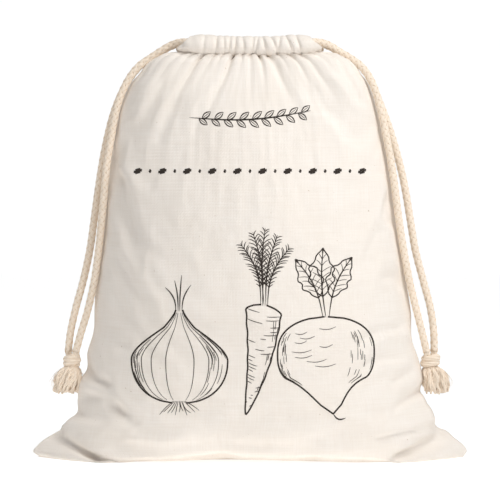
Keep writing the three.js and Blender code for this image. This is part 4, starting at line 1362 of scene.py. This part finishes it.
def cotton_yarn(name, groove_shade_colour, patch_colour):
    """Soft twisted yarn, painted lighter on its crowns as painted light and in the groove colour as
    painted shade, with uneven patches of its own colour.
    """
    cotton, tree, shader = new_material(name)
    surface = add_node(tree, "ShaderNodeUVMap", {"uv_map": "surface"}, {}).outputs["UV"]
    parts = add_node(tree, "ShaderNodeSeparateXYZ", {}, {"Vector": surface})
    turned = add_node(tree, "ShaderNodeMath", {"operation": "MULTIPLY", 1: 2 * math.pi}, {
        0: parts.outputs["X"]})
    # Each bundle is painted lighter on its crown as painted light, and darker towards its grooves as
    # painted shade.
    crown = add_node(tree, "ShaderNodeMath", {"operation": "SINE"}, {0: turned.outputs["Value"]})
    lit_crown_share = add_node(tree, "ShaderNodeMapRange", {
        "From Min": -0.35, "From Max": 0.75}, {"Value": crown.outputs["Value"]})
    slant = add_node(tree, "ShaderNodeMath", {"operation": "MULTIPLY_ADD", 1: 2 / yarn_pitch / 4}, {
        0: parts.outputs["Y"], 2: parts.outputs["X"]})
    slant_turn = add_node(tree, "ShaderNodeMath", {"operation": "MULTIPLY", 1: 2 * math.pi * 3}, {
        0: slant.outputs["Value"]})
    yarn_lines = add_node(tree, "ShaderNodeMath", {"operation": "SINE"}, {0: slant_turn.outputs["Value"]})
    place = add_node(tree, "ShaderNodeTexCoord", {}, {}).outputs["Object"]
    patches = add_node(tree, "ShaderNodeTexNoise", {"Scale": 90, "Detail": 2}, {"Vector": place})
    fuzz = add_node(tree, "ShaderNodeTexNoise", {"Scale": 3200, "Detail": 2}, {"Vector": place})
    crown_light_and_groove_shade = add_node(tree, "ShaderNodeMix", {
        "data_type": "RGBA", 6: linear(groove_shade_colour), 7: linear("#fbecda")},
        {0: lit_crown_share.outputs["Result"]})
    patch_share = add_node(tree, "ShaderNodeMapRange", {
        "From Min": 0.4, "From Max": 0.7, "To Min": 0, "To Max": 0.4}, {"Value": patches.outputs["Fac"]})
    yarn_colour = add_node(tree, "ShaderNodeMix", {"data_type": "RGBA", 7: linear(patch_colour)}, {
        0: patch_share.outputs["Result"], 6: crown_light_and_groove_shade.outputs[2]})
    tree.links.new(yarn_colour.outputs[2], shader.inputs["Base Color"])
    yarn_raised = add_node(tree, "ShaderNodeMath", {"operation": "MULTIPLY_ADD", 1: 0.45}, {
        0: yarn_lines.outputs["Value"], 2: fuzz.outputs["Fac"]})
    yarn_bump = add_node(tree, "ShaderNodeBump", {"Strength": 0.7, "Distance": 0.14 * mm}, {
        "Height": yarn_raised.outputs["Value"]})
    tree.links.new(yarn_bump.outputs["Normal"], shader.inputs["Normal"])
    shader.inputs["Roughness"].default_value = 0.88
    shader.inputs["Specular IOR Level"].default_value = 0.2
    shader.inputs["Sheen Weight"].default_value = 0.2
    shader.inputs["Sheen Roughness"].default_value = 0.5
    return cotton


cord_cotton = cotton_yarn("plaited cotton yarn", "#d5b78f", "#f6e2cb")
frayed_cotton = cotton_yarn("frayed cotton yarn", "#fae5cc", "#fdecd6")

# %% [markdown]
# Screen ink soaks into cotton and dries matt. It follows the weave below it, so it has the same
# bands in its bump, and the thread crowns take a little more of it than the gaps.

# %% Matt printing ink
screen_ink, tree, shader = new_material("matt black screen ink")
surface = add_node(tree, "ShaderNodeUVMap", {"uv_map": "surface"}, {}).outputs["UV"]
weave = weave_height(tree, surface)
soaked = add_node(tree, "ShaderNodeMix", {
    "data_type": "RGBA", 6: linear("#4a423b"), 7: linear("#262120")}, {0: weave.outputs[0]})
tree.links.new(soaked.outputs[2], shader.inputs["Base Color"])
ink_bump = add_node(tree, "ShaderNodeBump", {"Strength": 0.4, "Distance": 0.1 * mm}, {
    "Height": weave.outputs[0]})
tree.links.new(ink_bump.outputs["Normal"], shader.inputs["Normal"])
shader.inputs["Roughness"].default_value = 0.85
shader.inputs["Specular IOR Level"].default_value = 0.2

for piece in (*panels.values(), *hems.values()):
    piece.data.materials.append(canvas)
printed.data.materials.append(screen_ink)
for piece in (*cord_pieces.values(), *knots.values(), *stitches.values()):
    piece.data.materials.append(cord_cotton)
for piece in tufts.values():
    piece.data.materials.append(frayed_cotton)
print("materials:", sorted(material.name for material in bpy.data.materials))

for name in ("front", "back"):
    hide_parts(f"{name}_panel")
    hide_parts(f"{name}_channel")
    for piece in (panels[name], hems[name], stitches[name]):
        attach(piece, "root")
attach(printed, "root")
for name in ("left", "right"):
    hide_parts(f"{name}_cord")
    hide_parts(f"{name}_knot")
    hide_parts(f"{name}_tuft")
    for piece in (cord_pieces[name], knots[name], tufts[name]):
        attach(piece, "root")
    line = cord_lines[name]
    length = float(reach_along(line)[-1])

# %% [markdown]
# The studio is a white table and a bright white surround. A soft light near the bag, at the front
# right, models the folds. Its beam is narrow and aimed high, so that it fades towards the foot, as
# in the photo. A wide one overhead keeps the table white and leaves a small soft shadow where the
# cloth meets it.

# %% Studio
bpy.ops.object.select_all(action="DESELECT")
bpy.ops.mesh.primitive_plane_add(size=8, location=(0, 0, 0))
floor = bpy.context.object
floor.name = "white table"
paper, tree, shader = new_material("matt white paper")
shader.inputs["Base Color"].default_value = (0.92, 0.92, 0.92, 1)
shader.inputs["Emission Color"].default_value = (1, 1, 1, 1)
shader.inputs["Emission Strength"].default_value = 0.44
shader.inputs["Roughness"].default_value = 0.9
shader.inputs["Specular IOR Level"].default_value = 0.1
floor.data.materials.append(paper)

world = bpy.data.worlds.new("white studio")
bpy.context.scene.world = world
world.use_nodes = True
tree = world.node_tree
seen = tree.nodes["Background"]
seen.inputs["Color"].default_value = (1, 1, 1, 1)
seen.inputs["Strength"].default_value = 1.02
glow = add_node(tree, "ShaderNodeBackground", {"Color": (1, 1, 1, 1), "Strength": 0.20}, {})
rays = add_node(tree, "ShaderNodeLightPath", {}, {})
surround = add_node(tree, "ShaderNodeMixShader", {}, {
    0: rays.outputs["Is Camera Ray"], 1: glow.outputs[0], 2: seen.outputs[0]})
tree.links.new(surround.outputs[0], tree.nodes["World Output"].inputs["Surface"])
bpy.context.scene.view_settings.view_transform = "Standard"


def light_towards_bag(name, kind, place, aim_height, **settings):
    light = bpy.data.lights.new(name, kind)
    for setting, value in settings.items():
        setattr(light, setting, value)
    holder = bpy.data.objects.new(name, light)
    holder.location = place
    aim = Vector((0, 0, aim_height)) - Vector(place)
    holder.rotation_euler = aim.to_track_quat("-Z", "Y").to_euler()
    bpy.context.collection.objects.link(holder)


light_towards_bag("key from the right", "AREA", (0.68, -0.72, 0.90), 0.28,
                  size=0.42, energy=0.79, spread=math.radians(60))
light_towards_bag("weak light from behind", "AREA", (-1.3, 1.6, 1.3), 0.14, size=1.2, energy=6)
light_towards_bag("even light overhead", "SUN", (0.3, -0.6, 2.4), 0.14,
                  energy=1.4, angle=math.radians(35))
